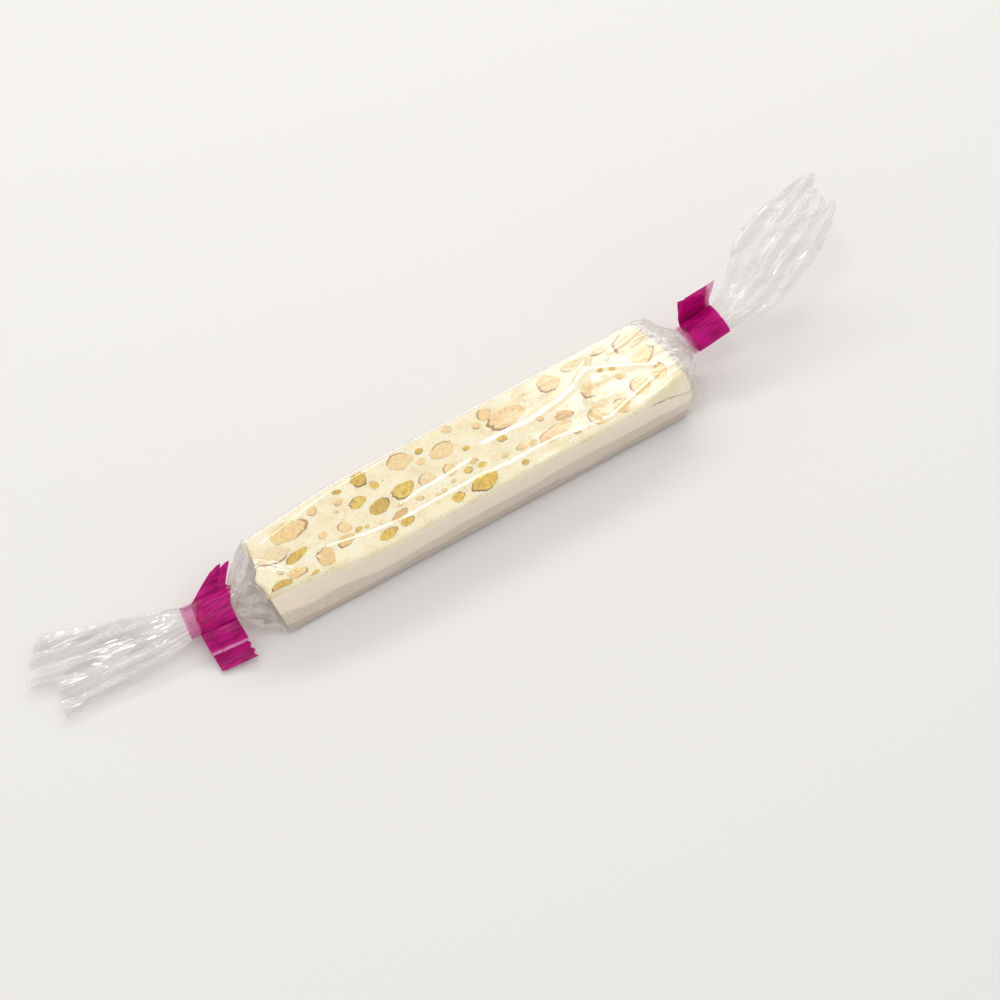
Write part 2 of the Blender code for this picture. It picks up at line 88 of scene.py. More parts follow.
# Tails
TAIL_LENGTH = 48.0
LEFT_TAIL_HALF_WIDTH = 15.0
LEFT_TAIL_LOW = 2.9
RIGHT_TAIL_BULGE = 7.8
RIGHT_TAIL_TURN = 22.0
RIGHT_TAIL_LIFT = 10.0
LEFT_EDGE = ((-1.0, 2.4), (-0.9, 2.1), (-0.22, 3.9), (-0.1, -5.0), (0.0, -4.8), (0.6, -1.2), (1.0, 4.0))
RIGHT_EDGE = ((-1.0, 0.5), (-0.85, 3.0), (-0.65, 0.5), (0.0, 3.0), (0.3, 7.0), (0.55, 6.5), (1.0, -3.5))

# Creases in the film over the top face: the points each runs through, how wide its far flank is
# and how high it rises
CREASES = (
    (((-52.4, -5.8), (-40.9, -7.6), (-29.0, -9.0), (-11.0, -8.7), (-2.7, -8.6)), 1.3, 0.25),
    (((-2.7, -8.6), (8.2, -9.4), (29.5, -9.7), (36.2, -11.2), (47.0, -12.2)), 1.5, 0.28),
    (((47.0, -12.2), (57.3, -9.3), (68.0, -6.6)), 1.2, 0.24),
    (((-26.2, -4.3), (-18.2, -3.2), (-8.5, -2.9), (1.3, -2.0), (7.1, 0.7)), 1.3, 0.25),
    (((7.1, 0.7), (18.0, 0.4), (25.6, 0.0), (36.6, 1.4), (43.5, 3.3), (50.2, 6.8)), 1.9, 0.36),
    (((50.2, 6.8), (53.4, 10.2)), 1.1, 0.22),
    (((50.2, 6.8), (58.9, 2.7), (69.6, -3.1)), 1.5, 0.28),
    (((50.2, 6.8), (44.7, -2.3), (43.9, -8.1), (44.9, -14.0)), 1.1, 0.24),
    (((-74.4, 4.0), (-69.4, -1.7), (-65.3, -10.2)), 1.1, 0.24),
    (((-75.3, 1.4), (-70.8, -4.6), (-66.6, -11.0)), 1.0, 0.22),
    (((-70.0, 9.5), (-52.0, 11.4), (-20.0, 12.4)), 0.8, 0.14),
    (((60.0, 8.2), (66.0, 9.0), (73.0, 10.6)), 1.0, 0.20),
)
# Width of the near flank as a share of the far one's
CREASE_BACK = 0.45

# Tape
TAPE_OVAL = (5.8, 2.9)
TAPE_APART = 0.18
TAPE_STEPS, TAPE_LANES = 150, 26
TAPE_WRINKLE, SINGLE_CRUSH = 0.22, 0.5
# Crease across a tab, painted with a highlight line, and the torn teeth beyond it
CREASE_HALF, CREASE_LIFT = 0.9, 0.3
TOOTH, TOOTH_LANE, TOOTH_STEP = 1.1, 0.85, 2.4
TAB_LEVEL = 0.7
THIN_FLAG = 0.8
LEFT_FRONT_TAB = ((-5.85, 0.0), (-8.4, -0.8), (-12.0, -3.2), (-15.0, -5.0), (-17.6, -5.5))
LEFT_REAR_TAB = ((5.85, 0.0), (7.7, 1.0), (9.2, 2.6), (10.4, 4.6))
RIGHT_REAR_TAB = ((5.85, 0.0), (6.9, 2.2), (7.1, 6.0), (7.8, 11.0))

# Nuts that show on top: kind, x, y, length, width and turn in degrees
TOP_NUTS = (
    ("almond", -59.7, 6.9, 13.4, 6.9, 2.0),
    ("pale", -68.4, 1.8, 11.1, 6.2, -6.0),
    ("pistachio", -62.4, -2.0, 8.8, 3.1, 12.0),
    ("almond", -64.8, -7.2, 6.5, 3.5, -8.0),
    ("pistachio", -71.6, -9.2, 8.1, 4.8, 10.0),
    ("almond", -54.6, -6.9, 6.5, 6.2, 40.0),
    ("almond", -46.4, -5.3, 6.5, 3.8, 8.0),
    ("almond", -44.4, -1.1, 4.6, 3.8, -20.0),
    ("almond", -50.0, 9.2, 3.6, 3.1, 30.0),
    ("pistachio", -31.9, 11.4, 5.9, 5.6, 30.0),
    ("pistachio", -28.8, 7.0, 2.9, 3.1, 0.0),
    ("pistachio", -36.2, 4.4, 6.5, 3.8, 4.0),
    ("pistachio", -41.0, -4.1, 2.9, 1.7, 10.0),
    ("pistachio", -31.2, -0.5, 7.5, 4.8, 14.0),
    ("pistachio", -22.1, 0.6, 8.1, 5.5, 10.0),
    ("almond", -17.5, 10.2, 8.8, 6.2, -4.0),
    ("almond", -4.1, 6.5, 8.8, 5.5, 6.0),
    ("almond", 0.9, 12.2, 2.9, 3.6, 60.0),
    ("pistachio", -10.5, 10.1, 2.9, 2.1, 0.0),
    ("pale", -13.7, 0.0, 5.9, 4.8, 0.0),
    ("almond", -5.7, -0.7, 4.6, 4.8, 20.0),
    ("pistachio", -33.9, -10.4, 6.5, 3.5, 10.0),
    ("pink", -27.6, -6.6, 6.5, 3.1, 16.0),
    ("pistachio", -26.6, -9.7, 5.2, 2.8, 5.0),
    ("pistachio", -8.6, -10.8, 4.6, 3.5, 0.0),
    ("almond", 19.3, 6.1, 13.7, 7.3, 4.0),
    ("almond", 14.0, 10.7, 5.2, 4.4, 10.0),
    ("pistachio", 15.9, -11.2, 2.6, 2.1, 0.0),
    ("pistachio", 1.3, -10.2, 10.4, 6.4, 12.0),
    ("almond", 30.0, -6.6, 12.1, 4.8, 6.0),
    ("pink", 35.3, -3.0, 6.8, 3.5, -10.0),
    ("almond", 37.4, 9.7, 7.8, 6.8, -20.0),
    ("almond", 46.9, 11.3, 6.8, 3.5, 0.0),
    ("almond", 47.5, 0.7, 7.2, 6.2, 10.0),
    ("almond", 44.6, -8.6, 7.2, 7.6, -50.0),
    ("pale", 67.6, 9.6, 12.1, 7.6, 5.0),
    ("almond", 68.6, 2.6, 8.8, 6.2, 22.0),
    ("almond", 69.8, -5.2, 6.4, 5.4, 50.0),
    ("almond", 62.0, -6.6, 7.2, 7.2, 40.0),
    ("almond", 52.9, -9.6, 5.9, 5.6, 20.0),
    ("pale", 58.0, 11.6, 6.8, 3.5, 0.0),
)
TONES = {"almond": (0.35, 0.75), "pale": (0.85, 1.0), "pink": (0.0, 0.15), "pistachio": (0.3, 0.62)}


def linear(code):
    """Turn an sRGB hex colour to linear red, green, blue and alpha."""
    channels = [int(code[start:start + 2], 16) / 255.0 for start in (1, 3, 5)]
    return (*[c / 12.92 if c <= 0.04045 else ((c + 0.055) / 1.055) ** 2.4 for c in channels], 1.0)


def colour(name, description, code):
    return bpy.props.FloatVectorProperty(
        name=name, description=description, subtype="COLOR", size=4, min=0.0, max=1.0, default=linear(code)
    )


def length(name, description, default):
    """A length property, given in millimetres and kept in metres."""
    return bpy.props.FloatProperty(
        name=name, description=description, unit="LENGTH", subtype="DISTANCE",
        precision=5, default=default * MM,
    )


class NougatBarSettings(bpy.types.PropertyGroup):
    edge: length("Paste edge", "Rounding along the paste's edges", 1.2)
    wave: length("Cut wave", "How far the cut faces rise and fall", 0.12)
    relief: length("Nut relief", "How far the nuts stand out of a cut face", 0.17)
    wafer: length("Wafer thickness", "Thickness of each wafer sheet", 0.7)
    paste_colour: colour("Paste", "Whipped sugar paste", "#FEF2CD")
    almond_colour: colour("Almond", "Inside of a cut almond", "#FADB98")
    pistachio_colour: colour("Pistachio", "Inside of a cut pistachio", "#F0CC34")
    skin_colour: colour("Skin", "Brown skin of the nuts", "#A0743F")
    wafer_colour: colour("Wafer", "Starch wafer", "#EBDDCF")


class NougatWrapSettings(bpy.types.PropertyGroup):
    pleat: length("Pleat depth", "Half depth of the pleats in the tails", 1.3)
    crumple: length("Crumple", "Height of the small creases in the tails", 0.5)
    crease: bpy.props.FloatProperty(
        name="Crease height", description="Scale of the creases over the top face",
        min=0.0, max=2.0, default=1.0,
    )
    film_colour: colour("Film", "Clear film", "#FDFCFB")
    tape_colour: colour("Tape", "Closing tape", "#CD1084")


class NougatStageSettings(bpy.types.PropertyGroup):
    floor_colour: colour("Floor", "Plain floor", "#E7E5E2")
    key: bpy.props.FloatProperty(
        name="Key light", description="Power of the window light", subtype="POWER", default=4.4
    )
    sheen: bpy.props.FloatProperty(
        name="Sheen light", description="Power of the lights that the film mirrors",
        subtype="POWER", default=0.23,
    )


def blend(a, b, share):
    return a + (b - a) * share


def smooth(low, high, value):
    """Ease from 0 at low to 1 at high."""
    share = max(0.0, min(1.0, (value - low) / (high - low)))
    return share * share * (3.0 - 2.0 * share)


def bulge(y, middle, half):
    """A bell-shaped swelling across the bar."""
    return math.exp(-(((y - middle) / half) ** 2))


def left_end(y, z):
    """The left end leans, and swells out near the front of the top."""
    drop = (PASTE_HIGH - z) / (PASTE_HIGH - PASTE_LOW)
    swell = LEFT_BULGE * bulge(y, LEFT_BULGE_Y, LEFT_BULGE_HALF) * max(0.0, 1.0 - 1.6 * drop)
    return LEFT_END + LEFT_SWING * y + LEFT_UNDERCUT * drop - swell


def right_end(y, z):
    drop = (PASTE_HIGH - z) / (PASTE_HIGH - PASTE_LOW)
    swell = RIGHT_BULGE * bulge(y, RIGHT_BULGE_Y, RIGHT_BULGE_HALF) * max(0.0, 1.0 - drop)
    return RIGHT_END + RIGHT_SWING * y - RIGHT_UNDERCUT * drop + swell


WORN_FIRST, WORN_SECOND, WORN_THIRD = (Vector(corner) for corner in WORN_CORNER)
WORN_NORMAL = (WORN_THIRD - WORN_FIRST).cross(WORN_SECOND - WORN_FIRST).normalized()


def keep_worn(point, inset):
    """Hold a point on or behind the worn corner, moved in by inset."""
    if point.x < WORN_FIRST.x - WORN_MARGIN:
        return point
    over = (point - WORN_FIRST).dot(WORN_NORMAL) + inset
    return point - WORN_NORMAL * over if over > 0.0 else point


def draw_in(point):
    """Move a point towards the middle where the top is drawn in near the left end."""
    if point.x < DRAWN_START:
        tall = max(0.0, (point.z - PASTE_LOW) / (PASTE_HIGH - PASTE_LOW)) ** DRAWN_CURVE
        along = smooth(DRAWN_START, DRAWN_END, point.x)
        most = DRAWN_FRONT if point.y < 0.0 else DRAWN_BACK
        point.y -= math.copysign(most * tall * along * min(1.0, abs(point.y) / DRAWN_FULL), point.y)
    return point


def finish_piece(name, bm, material, replaced, recalculate=False):
    """Turn a bmesh in millimetres into a finished piece in metres."""
    if recalculate:
        bmesh.ops.recalc_face_normals(bm, faces=bm.faces)
    bmesh.ops.scale(bm, vec=(MM, MM, MM), verts=bm.verts)
    mesh = bpy.data.meshes.new(name)
    bm.to_mesh(mesh)
    bm.free()
    mesh.shade_smooth()
    mesh.materials.append(material)
    piece = bpy.data.objects.new(name, mesh)
    bpy.context.scene.collection.objects.link(piece)
    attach(piece, "root")
    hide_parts(*replaced)
    return piece


def add(tree, kind, inputs=None, stops=(), **settings):
    """Add a node: inputs maps sockets to values or to the sockets that feed them, stops fill a ramp."""
    made = tree.nodes.new(kind)
    for key, value in settings.items():
        setattr(made, key, value)
    for key, value in (inputs or {}).items():
        if isinstance(value, bpy.types.NodeSocket):
            tree.links.new(value, made.inputs[key])
        else:
            made.inputs[key].default_value = value
    for index, (place, value) in enumerate(stops):
        if index >= len(made.color_ramp.elements):
            made.color_ramp.elements.new(place)
        made.color_ramp.elements[index].position = place
        made.color_ramp.elements[index].color = value
    return made


def start_material(name):
    """A material with an empty tree, its coordinates in millimetres and its output."""
    material = bpy.data.materials.new(name)
    material.use_nodes = True
    tree = material.node_tree
    tree.nodes.clear()
    place = add(tree, "ShaderNodeTexCoord")
    mm = add(tree, "ShaderNodeMapping", {"Vector": place.outputs["Object"], "Scale": (1.0 / MM,) * 3})
    output = add(tree, "ShaderNodeOutputMaterial")
    return material, tree, mm.outputs["Vector"], output


def grey(value):
    return (value, value, value, 1.0)


def paste_material(settings):
    """Whipped egg-white and honey paste: satin, a little translucent, with fine drag marks of the knife."""
    material, tree, mm, output = start_material("whipped nougat paste")
    patches = add(
        tree, "ShaderNodeTexNoise",
        {"Vector": mm, "Scale": 0.16, "Detail": 4.0, "Roughness": 0.6},
    )
    tint = add(
        tree, "ShaderNodeValToRGB", {"Fac": patches.outputs["Fac"]},
        stops=((0.32, linear("#F3E3B8")), (0.5, settings.paste_colour), (0.7, linear("#FDF8E2"))),
    )
    # Crumbs of brown skin about a third of a millimetre across
    crumbs = add(tree, "ShaderNodeTexNoise", {"Vector": mm, "Scale": 1.5, "Detail": 2.0})
    crumb_mask = add(
        tree, "ShaderNodeValToRGB",
        {"Fac": crumbs.outputs["Fac"]}, stops=((0.66, grey(0.0)), (0.71, grey(0.8))),
    )
    speckled = add(
        tree, "ShaderNodeMix",
        {0: crumb_mask.outputs["Color"], 6: tint.outputs["Color"], 7: linear("#B98F5C")}, data_type="RGBA",
    )
    drag = add(tree, "ShaderNodeMapping", {"Vector": mm, "Scale": (0.12, 1.6, 1.6)})
    marks = add(tree, "ShaderNodeTexNoise", {"Vector": drag.outputs["Vector"], "Scale": 1.0, "Detail": 3.0})
    grain = add(tree, "ShaderNodeTexNoise", {"Vector": mm, "Scale": 1.1, "Detail": 6.0, "Roughness": 0.65})
    rise = add(tree, "ShaderNodeMath", {0: marks.outputs["Fac"], 1: grain.outputs["Fac"]}, operation="ADD")
    bump = add(
        tree, "ShaderNodeBump",
        {"Strength": 0.35, "Distance": 0.0004, "Height": rise.outputs["Value"]},
    )
    gloss = add(tree, "ShaderNodeMapRange", {"Value": grain.outputs["Fac"], "To Min": 0.42, "To Max": 0.62})
    shader = add(
        tree, "ShaderNodeBsdfPrincipled",
        {
            "Base Color": speckled.outputs[2], "Roughness": gloss.outputs["Result"], "IOR": 1.45,
            "Subsurface Weight": 0.25, "Subsurface Radius": (1.0, 0.75, 0.45), "Subsurface Scale": 0.0012,
            "Normal": bump.outputs["Normal"],
        },
    )
    tree.links.new(shader.outputs[0], output.inputs["Surface"])
    return material


def nut_material(name, inside, inner_dark, skin, speckle):
    """A nut cut open: waxy inside, darker towards its skin, which shows as a thin broken rim."""
    material, tree, mm, output = start_material(name)
    tone = add(tree, "ShaderNodeAttribute", attribute_name="tone")
    rim = add(tree, "ShaderNodeAttribute", attribute_name="skin")
    grain = add(tree, "ShaderNodeTexNoise", {"Vector": mm, "Scale": 0.8, "Detail": 5.0, "Roughness": 0.7})
    light = add(
        tree, "ShaderNodeValToRGB", {"Fac": tone.outputs["Fac"]},
        stops=((0.0, inner_dark), (0.5, inside), (1.0, linear("#F8E8C0"))),
    )
    veins = add(
        tree, "ShaderNodeValToRGB",
        {"Fac": grain.outputs["Fac"]}, stops=((0.46, grey(0.0)), (0.62, grey(speckle))),
    )
    mottled = add(
        tree, "ShaderNodeMix",
        {0: veins.outputs["Color"], 6: light.outputs["Color"], 7: inner_dark}, data_type="RGBA",
    )
    dots = add(tree, "ShaderNodeTexNoise", {"Vector": mm, "Scale": 2.2, "Detail": 3.0, "Roughness": 0.7})
    broken = add(
        tree, "ShaderNodeMath",
        {0: rim.outputs["Fac"], 1: dots.outputs["Fac"]}, operation="MULTIPLY",
    )
    rim_mask = add(
        tree, "ShaderNodeValToRGB",
        {"Fac": broken.outputs["Value"]}, stops=((0.24, grey(0.0)), (0.34, grey(0.85))),
    )
    skinned = add(
        tree, "ShaderNodeMix",
        {0: rim_mask.outputs["Color"], 6: mottled.outputs[2], 7: skin}, data_type="RGBA",
    )
    bump = add(tree, "ShaderNodeBump", {"Strength": 0.3, "Distance": 0.0003, "Height": dots.outputs["Fac"]})
    shader = add(
        tree, "ShaderNodeBsdfPrincipled",
        {
            "Base Color": skinned.outputs[2], "Roughness": 0.42, "IOR": 1.46,
            "Subsurface Weight": 0.2, "Subsurface Radius": (1.0, 0.7, 0.4), "Subsurface Scale": 0.0008,
            "Normal": bump.outputs["Normal"],
        },
    )
    tree.links.new(shader.outputs[0], output.inputs["Surface"])
    return material


def wafer_material(settings):
    """Starch wafer baked between plates: matte, with a fine pinkish-beige grain, paler at the top from
    smeared paste and painted light, and painted shade towards the bottom.
    """
    material, tree, mm, output = start_material("starch wafer")
    grain = add(tree, "ShaderNodeTexNoise", {"Vector": mm, "Scale": 1.8, "Detail": 5.0, "Roughness": 0.7})
    fine = add(
        tree, "ShaderNodeValToRGB", {"Fac": grain.outputs["Fac"]},
        stops=((0.36, linear("#CFC0B1")), (0.55, settings.wafer_colour), (0.72, linear("#F6EEE5"))),
    )
    damp = add(tree, "ShaderNodeTexNoise", {"Vector": mm, "Scale": 0.22, "Detail": 3.0})
    damp_mask = add(
        tree, "ShaderNodeValToRGB",
        {"Fac": damp.outputs["Fac"]}, stops=((0.45, grey(0.0)), (0.7, grey(0.45))),
    )
    mottled = add(
        tree, "ShaderNodeMix",
        {0: damp_mask.outputs["Color"], 6: fine.outputs["Color"], 7: linear("#E0CFBF")}, data_type="RGBA",
    )
    # The top few millimetres are pale: partly cream paste smeared over the upper edge, partly a painted
    # highlight where that edge faces up and catches more light
    height = add(tree, "ShaderNodeSeparateXYZ", {"Vector": mm})
    band = add(tree, "ShaderNodeMapping", {"Vector": mm, "Scale": (0.05, 0.05, 0.3)})
    edge = add(tree, "ShaderNodeTexNoise", {"Vector": band.outputs["Vector"], "Scale": 1.0, "Detail": 4.0})
    ragged = add(
        tree, "ShaderNodeMath",
        {0: edge.outputs["Fac"], 1: 9.0, 2: height.outputs["Z"]}, operation="MULTIPLY_ADD",
    )
    pale = add(
        tree, "ShaderNodeMapRange",
        {"Value": ragged.outputs["Value"], "From Min": 13.7, "From Max": 15.4, "To Max": 0.95},
    )
    smear_and_lit_top = add(
        tree, "ShaderNodeMix",
        {0: pale.outputs["Result"], 6: mottled.outputs[2], 7: linear("#FFF2DC")}, data_type="RGBA",
    )
    # The bottom edge is painted a little darker: painted shade low on the side, near the floor
    painted_low_shade = add(
        tree, "ShaderNodeMapRange",
        {"Value": ragged.outputs["Value"], "From Min": 9.0, "From Max": 8.0, "To Max": 0.8},
    )
    with_painted_low_shade = add(
        tree, "ShaderNodeMix",
        {0: painted_low_shade.outputs["Result"], 6: smear_and_lit_top.outputs[2], 7: linear("#C4B6A6")}, data_type="RGBA",
    )
    bump = add(
        tree, "ShaderNodeBump",
        {"Strength": 0.5, "Distance": 0.0003, "Height": grain.outputs["Fac"]},
    )
    shader = add(
        tree, "ShaderNodeBsdfPrincipled",
        {"Base Color": with_painted_low_shade.outputs[2], "Roughness": 0.8, "IOR": 1.4, "Normal": bump.outputs["Normal"]},
    )
    tree.links.new(shader.outputs[0], output.inputs["Surface"])
    return material


def film_material(settings):
    """Extruded clear film: it mirrors the window on its creases, it is milky where it is bunched, and there
    it is painted grey and pale in facets as painted shade and painted reflection.
    """
    material, tree, mm, output = start_material("extruded clear film")
    edge = add(tree, "ShaderNodeLayerWeight", {"Blend": 0.5})
    steep = add(tree, "ShaderNodeMath", {0: edge.outputs["Facing"], 1: 4.0}, operation="POWER")
    mirror = add(
        tree, "ShaderNodeMapRange",
        {"Value": steep.outputs["Value"], "To Min": 0.1, "To Max": 0.8},
    )
    stretch = add(tree, "ShaderNodeMapping", {"Vector": mm, "Scale": (0.25, 1.4, 1.4)})
    crinkle = add(
        tree, "ShaderNodeTexNoise",
        {"Vector": stretch.outputs["Vector"], "Scale": 0.7, "Detail": 3.0},
    )
    crush = add(tree, "ShaderNodeAttribute", attribute_name="crush")
    bump = add(
        tree, "ShaderNodeBump",
        {"Strength": crush.outputs["Fac"], "Distance": 0.0005, "Height": crinkle.outputs["Fac"]},
    )
    # Painted grey: a grey tint where the film is bunched, painted shade standing in for darker things seen
    # through it and mirrored in it
    smoke = add(tree, "ShaderNodeAttribute", attribute_name="smoke")
    # Crushed film is painted as a patchwork of facets, some grey and some pale: painted shade and painted
    # reflection, over the film's own milky haze
    long_cells = add(tree, "ShaderNodeMapping", {"Vector": mm, "Scale": (0.07, 0.42, 0.42)})
    patches = add(tree, "ShaderNodeTexVoronoi", {"Vector": long_cells.outputs["Vector"], "Scale": 1.0})
    painted_facet_tones = add(tree, "ShaderNodeSeparateColor", {"Color": patches.outputs["Color"]})
    painted_grey_share = add(
        tree, "ShaderNodeMath",
        {0: smoke.outputs["Fac"], 1: painted_facet_tones.outputs["Red"]}, operation="MULTIPLY",
    )
    clear_with_painted_grey = add(
        tree, "ShaderNodeMix",
        {0: painted_grey_share.outputs["Value"], 6: settings.film_colour, 7: linear("#8F8B8E")}, data_type="RGBA",
    )
    clear = add(tree, "ShaderNodeBsdfTransparent", {"Color": clear_with_painted_grey.outputs[2]})
    shine = add(
        tree, "ShaderNodeBsdfGlossy",
        {"Roughness": 0.07, "Color": grey(1.0), "Normal": bump.outputs["Normal"]},
    )
    sheet = add(
        tree, "ShaderNodeMixShader",
        {0: mirror.outputs["Result"], 1: clear.outputs[0], 2: shine.outputs[0]},
    )
    haze = add(tree, "ShaderNodeAttribute", attribute_name="haze")
    milk = add(
        tree, "ShaderNodeBsdfDiffuse",
        {"Color": linear("#F8F6F4"), "Normal": bump.outputs["Normal"]},
    )
    haze_and_painted_glint = add(
        tree, "ShaderNodeMath",
        {0: haze.outputs["Fac"], 1: painted_facet_tones.outputs["Green"]}, operation="MULTIPLY",
    )
    milky = add(
        tree, "ShaderNodeMixShader",
        {0: haze_and_painted_glint.outputs["Value"], 1: sheet.outputs[0], 2: milk.outputs[0]},
    )
    tree.links.new(milky.outputs[0], output.inputs["Surface"])
    return material


def tape_material(settings):
    """Coloured polypropylene tape: glossy, creased, and darker where two layers lie on each other."""
    material, tree, mm, output = start_material("coloured polypropylene tape")
    edge = add(tree, "ShaderNodeLayerWeight", {"Blend": 0.5})
    steep = add(tree, "ShaderNodeMath", {0: edge.outputs["Facing"], 1: 4.0}, operation="POWER")
    mirror = add(
        tree, "ShaderNodeMapRange",
        {"Value": steep.outputs["Value"], "To Min": 0.01, "To Max": 0.4},
    )
    stretch = add(tree, "ShaderNodeMapping", {"Vector": mm, "Scale": (0.12, 1.0, 1.0)})
    creases = add(
        tree, "ShaderNodeTexNoise",
        {"Vector": stretch.outputs["Vector"], "Scale": 0.8, "Detail": 4.0},
    )
    bump = add(
        tree, "ShaderNodeBump",
        {"Strength": 0.5, "Distance": 0.0006, "Height": creases.outputs["Fac"]},
    )
    # Painted shade: the colour is painted deeper along the tape's wrinkles, where they fall in shade; where
    # it is single it is paler, and along its crease a painted highlight makes it paler
    tight = add(
        tree, "ShaderNodeValToRGB",
        {"Fac": creases.outputs["Fac"]}, stops=((0.42, grey(0.6)), (0.55, grey(0.0))),
    )
    dye_and_painted_shade = add(
        tree, "ShaderNodeMix",
        {0: tight.outputs["Color"], 6: settings.tape_colour, 7: linear("#850A52")}, data_type="RGBA",
    )
    # Painted highlight: a pale pink line along the crease of a tab, broken up by flecks
    worn = add(tree, "ShaderNodeAttribute", attribute_name="worn")
    fleck = add(tree, "ShaderNodeTexNoise", {"Vector": mm, "Scale": 1.3, "Detail": 3.0})
    broken = add(
        tree, "ShaderNodeMath",
        {0: worn.outputs["Fac"], 1: fleck.outputs["Fac"]}, operation="MULTIPLY",
    )
    crease_glint_mask = add(
        tree, "ShaderNodeValToRGB",
        {"Fac": broken.outputs["Value"]}, stops=((0.2, grey(0.0)), (0.34, grey(0.85))),
    )
    painted = add(
        tree, "ShaderNodeMix",
        {0: crease_glint_mask.outputs["Color"], 6: dye_and_painted_shade.outputs[2], 7: linear("#F2A9D6")}, data_type="RGBA",
    )
    single = add(tree, "ShaderNodeAttribute", attribute_name="single")
    cover = add(
        tree, "ShaderNodeMapRange",
        {"Value": single.outputs["Fac"], "To Min": 0.72, "To Max": 0.16},
    )
    filtered = add(
        tree, "ShaderNodeMix",
        {0: single.outputs["Fac"], 6: linear("#D2308E"), 7: linear("#F8C6E2")}, data_type="RGBA",
    )
    through = add(tree, "ShaderNodeBsdfTransparent", {"Color": filtered.outputs[2]})
    dye = add(
        tree, "ShaderNodeBsdfDiffuse",
        {"Color": painted.outputs[2], "Normal": bump.outputs["Normal"]},
    )
    body = add(
        tree, "ShaderNodeMixShader",
        {0: cover.outputs["Result"], 1: through.outputs[0], 2: dye.outputs[0]},
    )
    shine = add(
        tree, "ShaderNodeBsdfGlossy",
        {"Roughness": 0.18, "Color": grey(1.0), "Normal": bump.outputs["Normal"]},
    )
    sheet = add(
        tree, "ShaderNodeMixShader",
        {0: mirror.outputs["Result"], 1: body.outputs[0], 2: shine.outputs[0]},
    )
    tree.links.new(sheet.outputs[0], output.inputs["Surface"])
    return material


def fine_slab(y_low, y_high, z_low, z_high, edge, grow, cells):
    """A length of the bar with rounded edges, cut into cells of about the given sizes."""
    bm = bmesh.new()
    bmesh.ops.create_cube(bm, size=1.0)
    long = RIGHT_END - LEFT_END
    sizes = Vector((long, y_high - y_low, z_high - z_low))
    bmesh.ops.scale(bm, vec=sizes, verts=bm.verts)
    bmesh.ops.bevel(
        bm, geom=bm.edges[:], offset=edge, segments=3, profile=0.5,
        affect="EDGES", material=-1, clamp_overlap=True,
    )
    for axis, cell in enumerate(cells):
        if cell:
            spanning = [e for e in bm.edges if abs((e.verts[0].co - e.verts[1].co)[axis]) > sizes[axis] / 2]
            cuts = round(sizes[axis] / cell) - 1
            bmesh.ops.subdivide_edges(bm, edges=spanning, cuts=cuts, use_grid_fill=True)
    middle = Vector((0.0, (y_low + y_high) / 2, (z_low + z_high) / 2))
    for vert in bm.verts:
        y, z = vert.co.y + middle.y, vert.co.z + middle.z
        share = vert.co.x / long + 0.5
        vert.co = (blend(left_end(y, z) - grow, right_end(y, z) + grow, share), y, z)
    return bm


def cut_wave(x, y, z, depth):
    """The unevenness of a cut face: broad swells, small ones and the drag of the knife."""
    swell = noise.noise(Vector((x * 0.09, y * 0.13, z * 0.13)))
    small = noise.noise(Vector((x * 0.45, y * 0.5, z * 0.5 + 7.0)))
    drag = noise.noise(Vector((x * 0.06, y * 1.1, 3.0)))
    pit = smooth(0.45, 0.7, noise.noise(Vector((x * 0.31 + 20.0, y * 0.34, z * 0.3))))
    return depth * (0.7 * swell + 0.6 * small + 0.4 * drag - 2.4 * pit)


# Size of the cells that the paste and the wafers are cut into, along X, Y and Z
PASTE_CELLS = (0.8, 0.8, 0.9)
WAFER_CELLS = (0.8, 0.0, 0.9)
# How far a cut face may dip below the level underside
LOW_DIP = 0.4


def make_paste(settings):
    half = PASTE_WIDTH / 2
    depth = settings.wave / MM
    bm = fine_slab(-half, half, PASTE_LOW, PASTE_HIGH, settings.edge / MM, 0.0, PASTE_CELLS)
    bm.normal_update()
    for vert in bm.verts:
        wave = cut_wave(*vert.co, depth)
        inner = Vector((vert.normal.x, 0.3 * vert.normal.y, vert.normal.z))
        vert.co = keep_worn(draw_in(vert.co + inner * wave), WORN_INSET)
        vert.co.z = max(vert.co.z, PASTE_LOW - LOW_DIP)
    return finish_piece("paste", bm, paste_material(settings), ["nougat"], True)


# Room between the nuts and the rims of the face that they lie on, at its sides and at its ends
NUT_RIM, NUT_END_RIM = 0.8, 0.5
LOW_RIM, LOW_END_RIM = 0.6, 0.8
# How much of the face's waves the nuts on top follow
NUT_FOLLOW = 0.7
# Outline of a nut: how quickly it wanders and how far
NUT_WANDER = ((1.2, 0.16), (3.2, 0.12), (8.0, 0.08))
NUT_DEPTH = 1.2


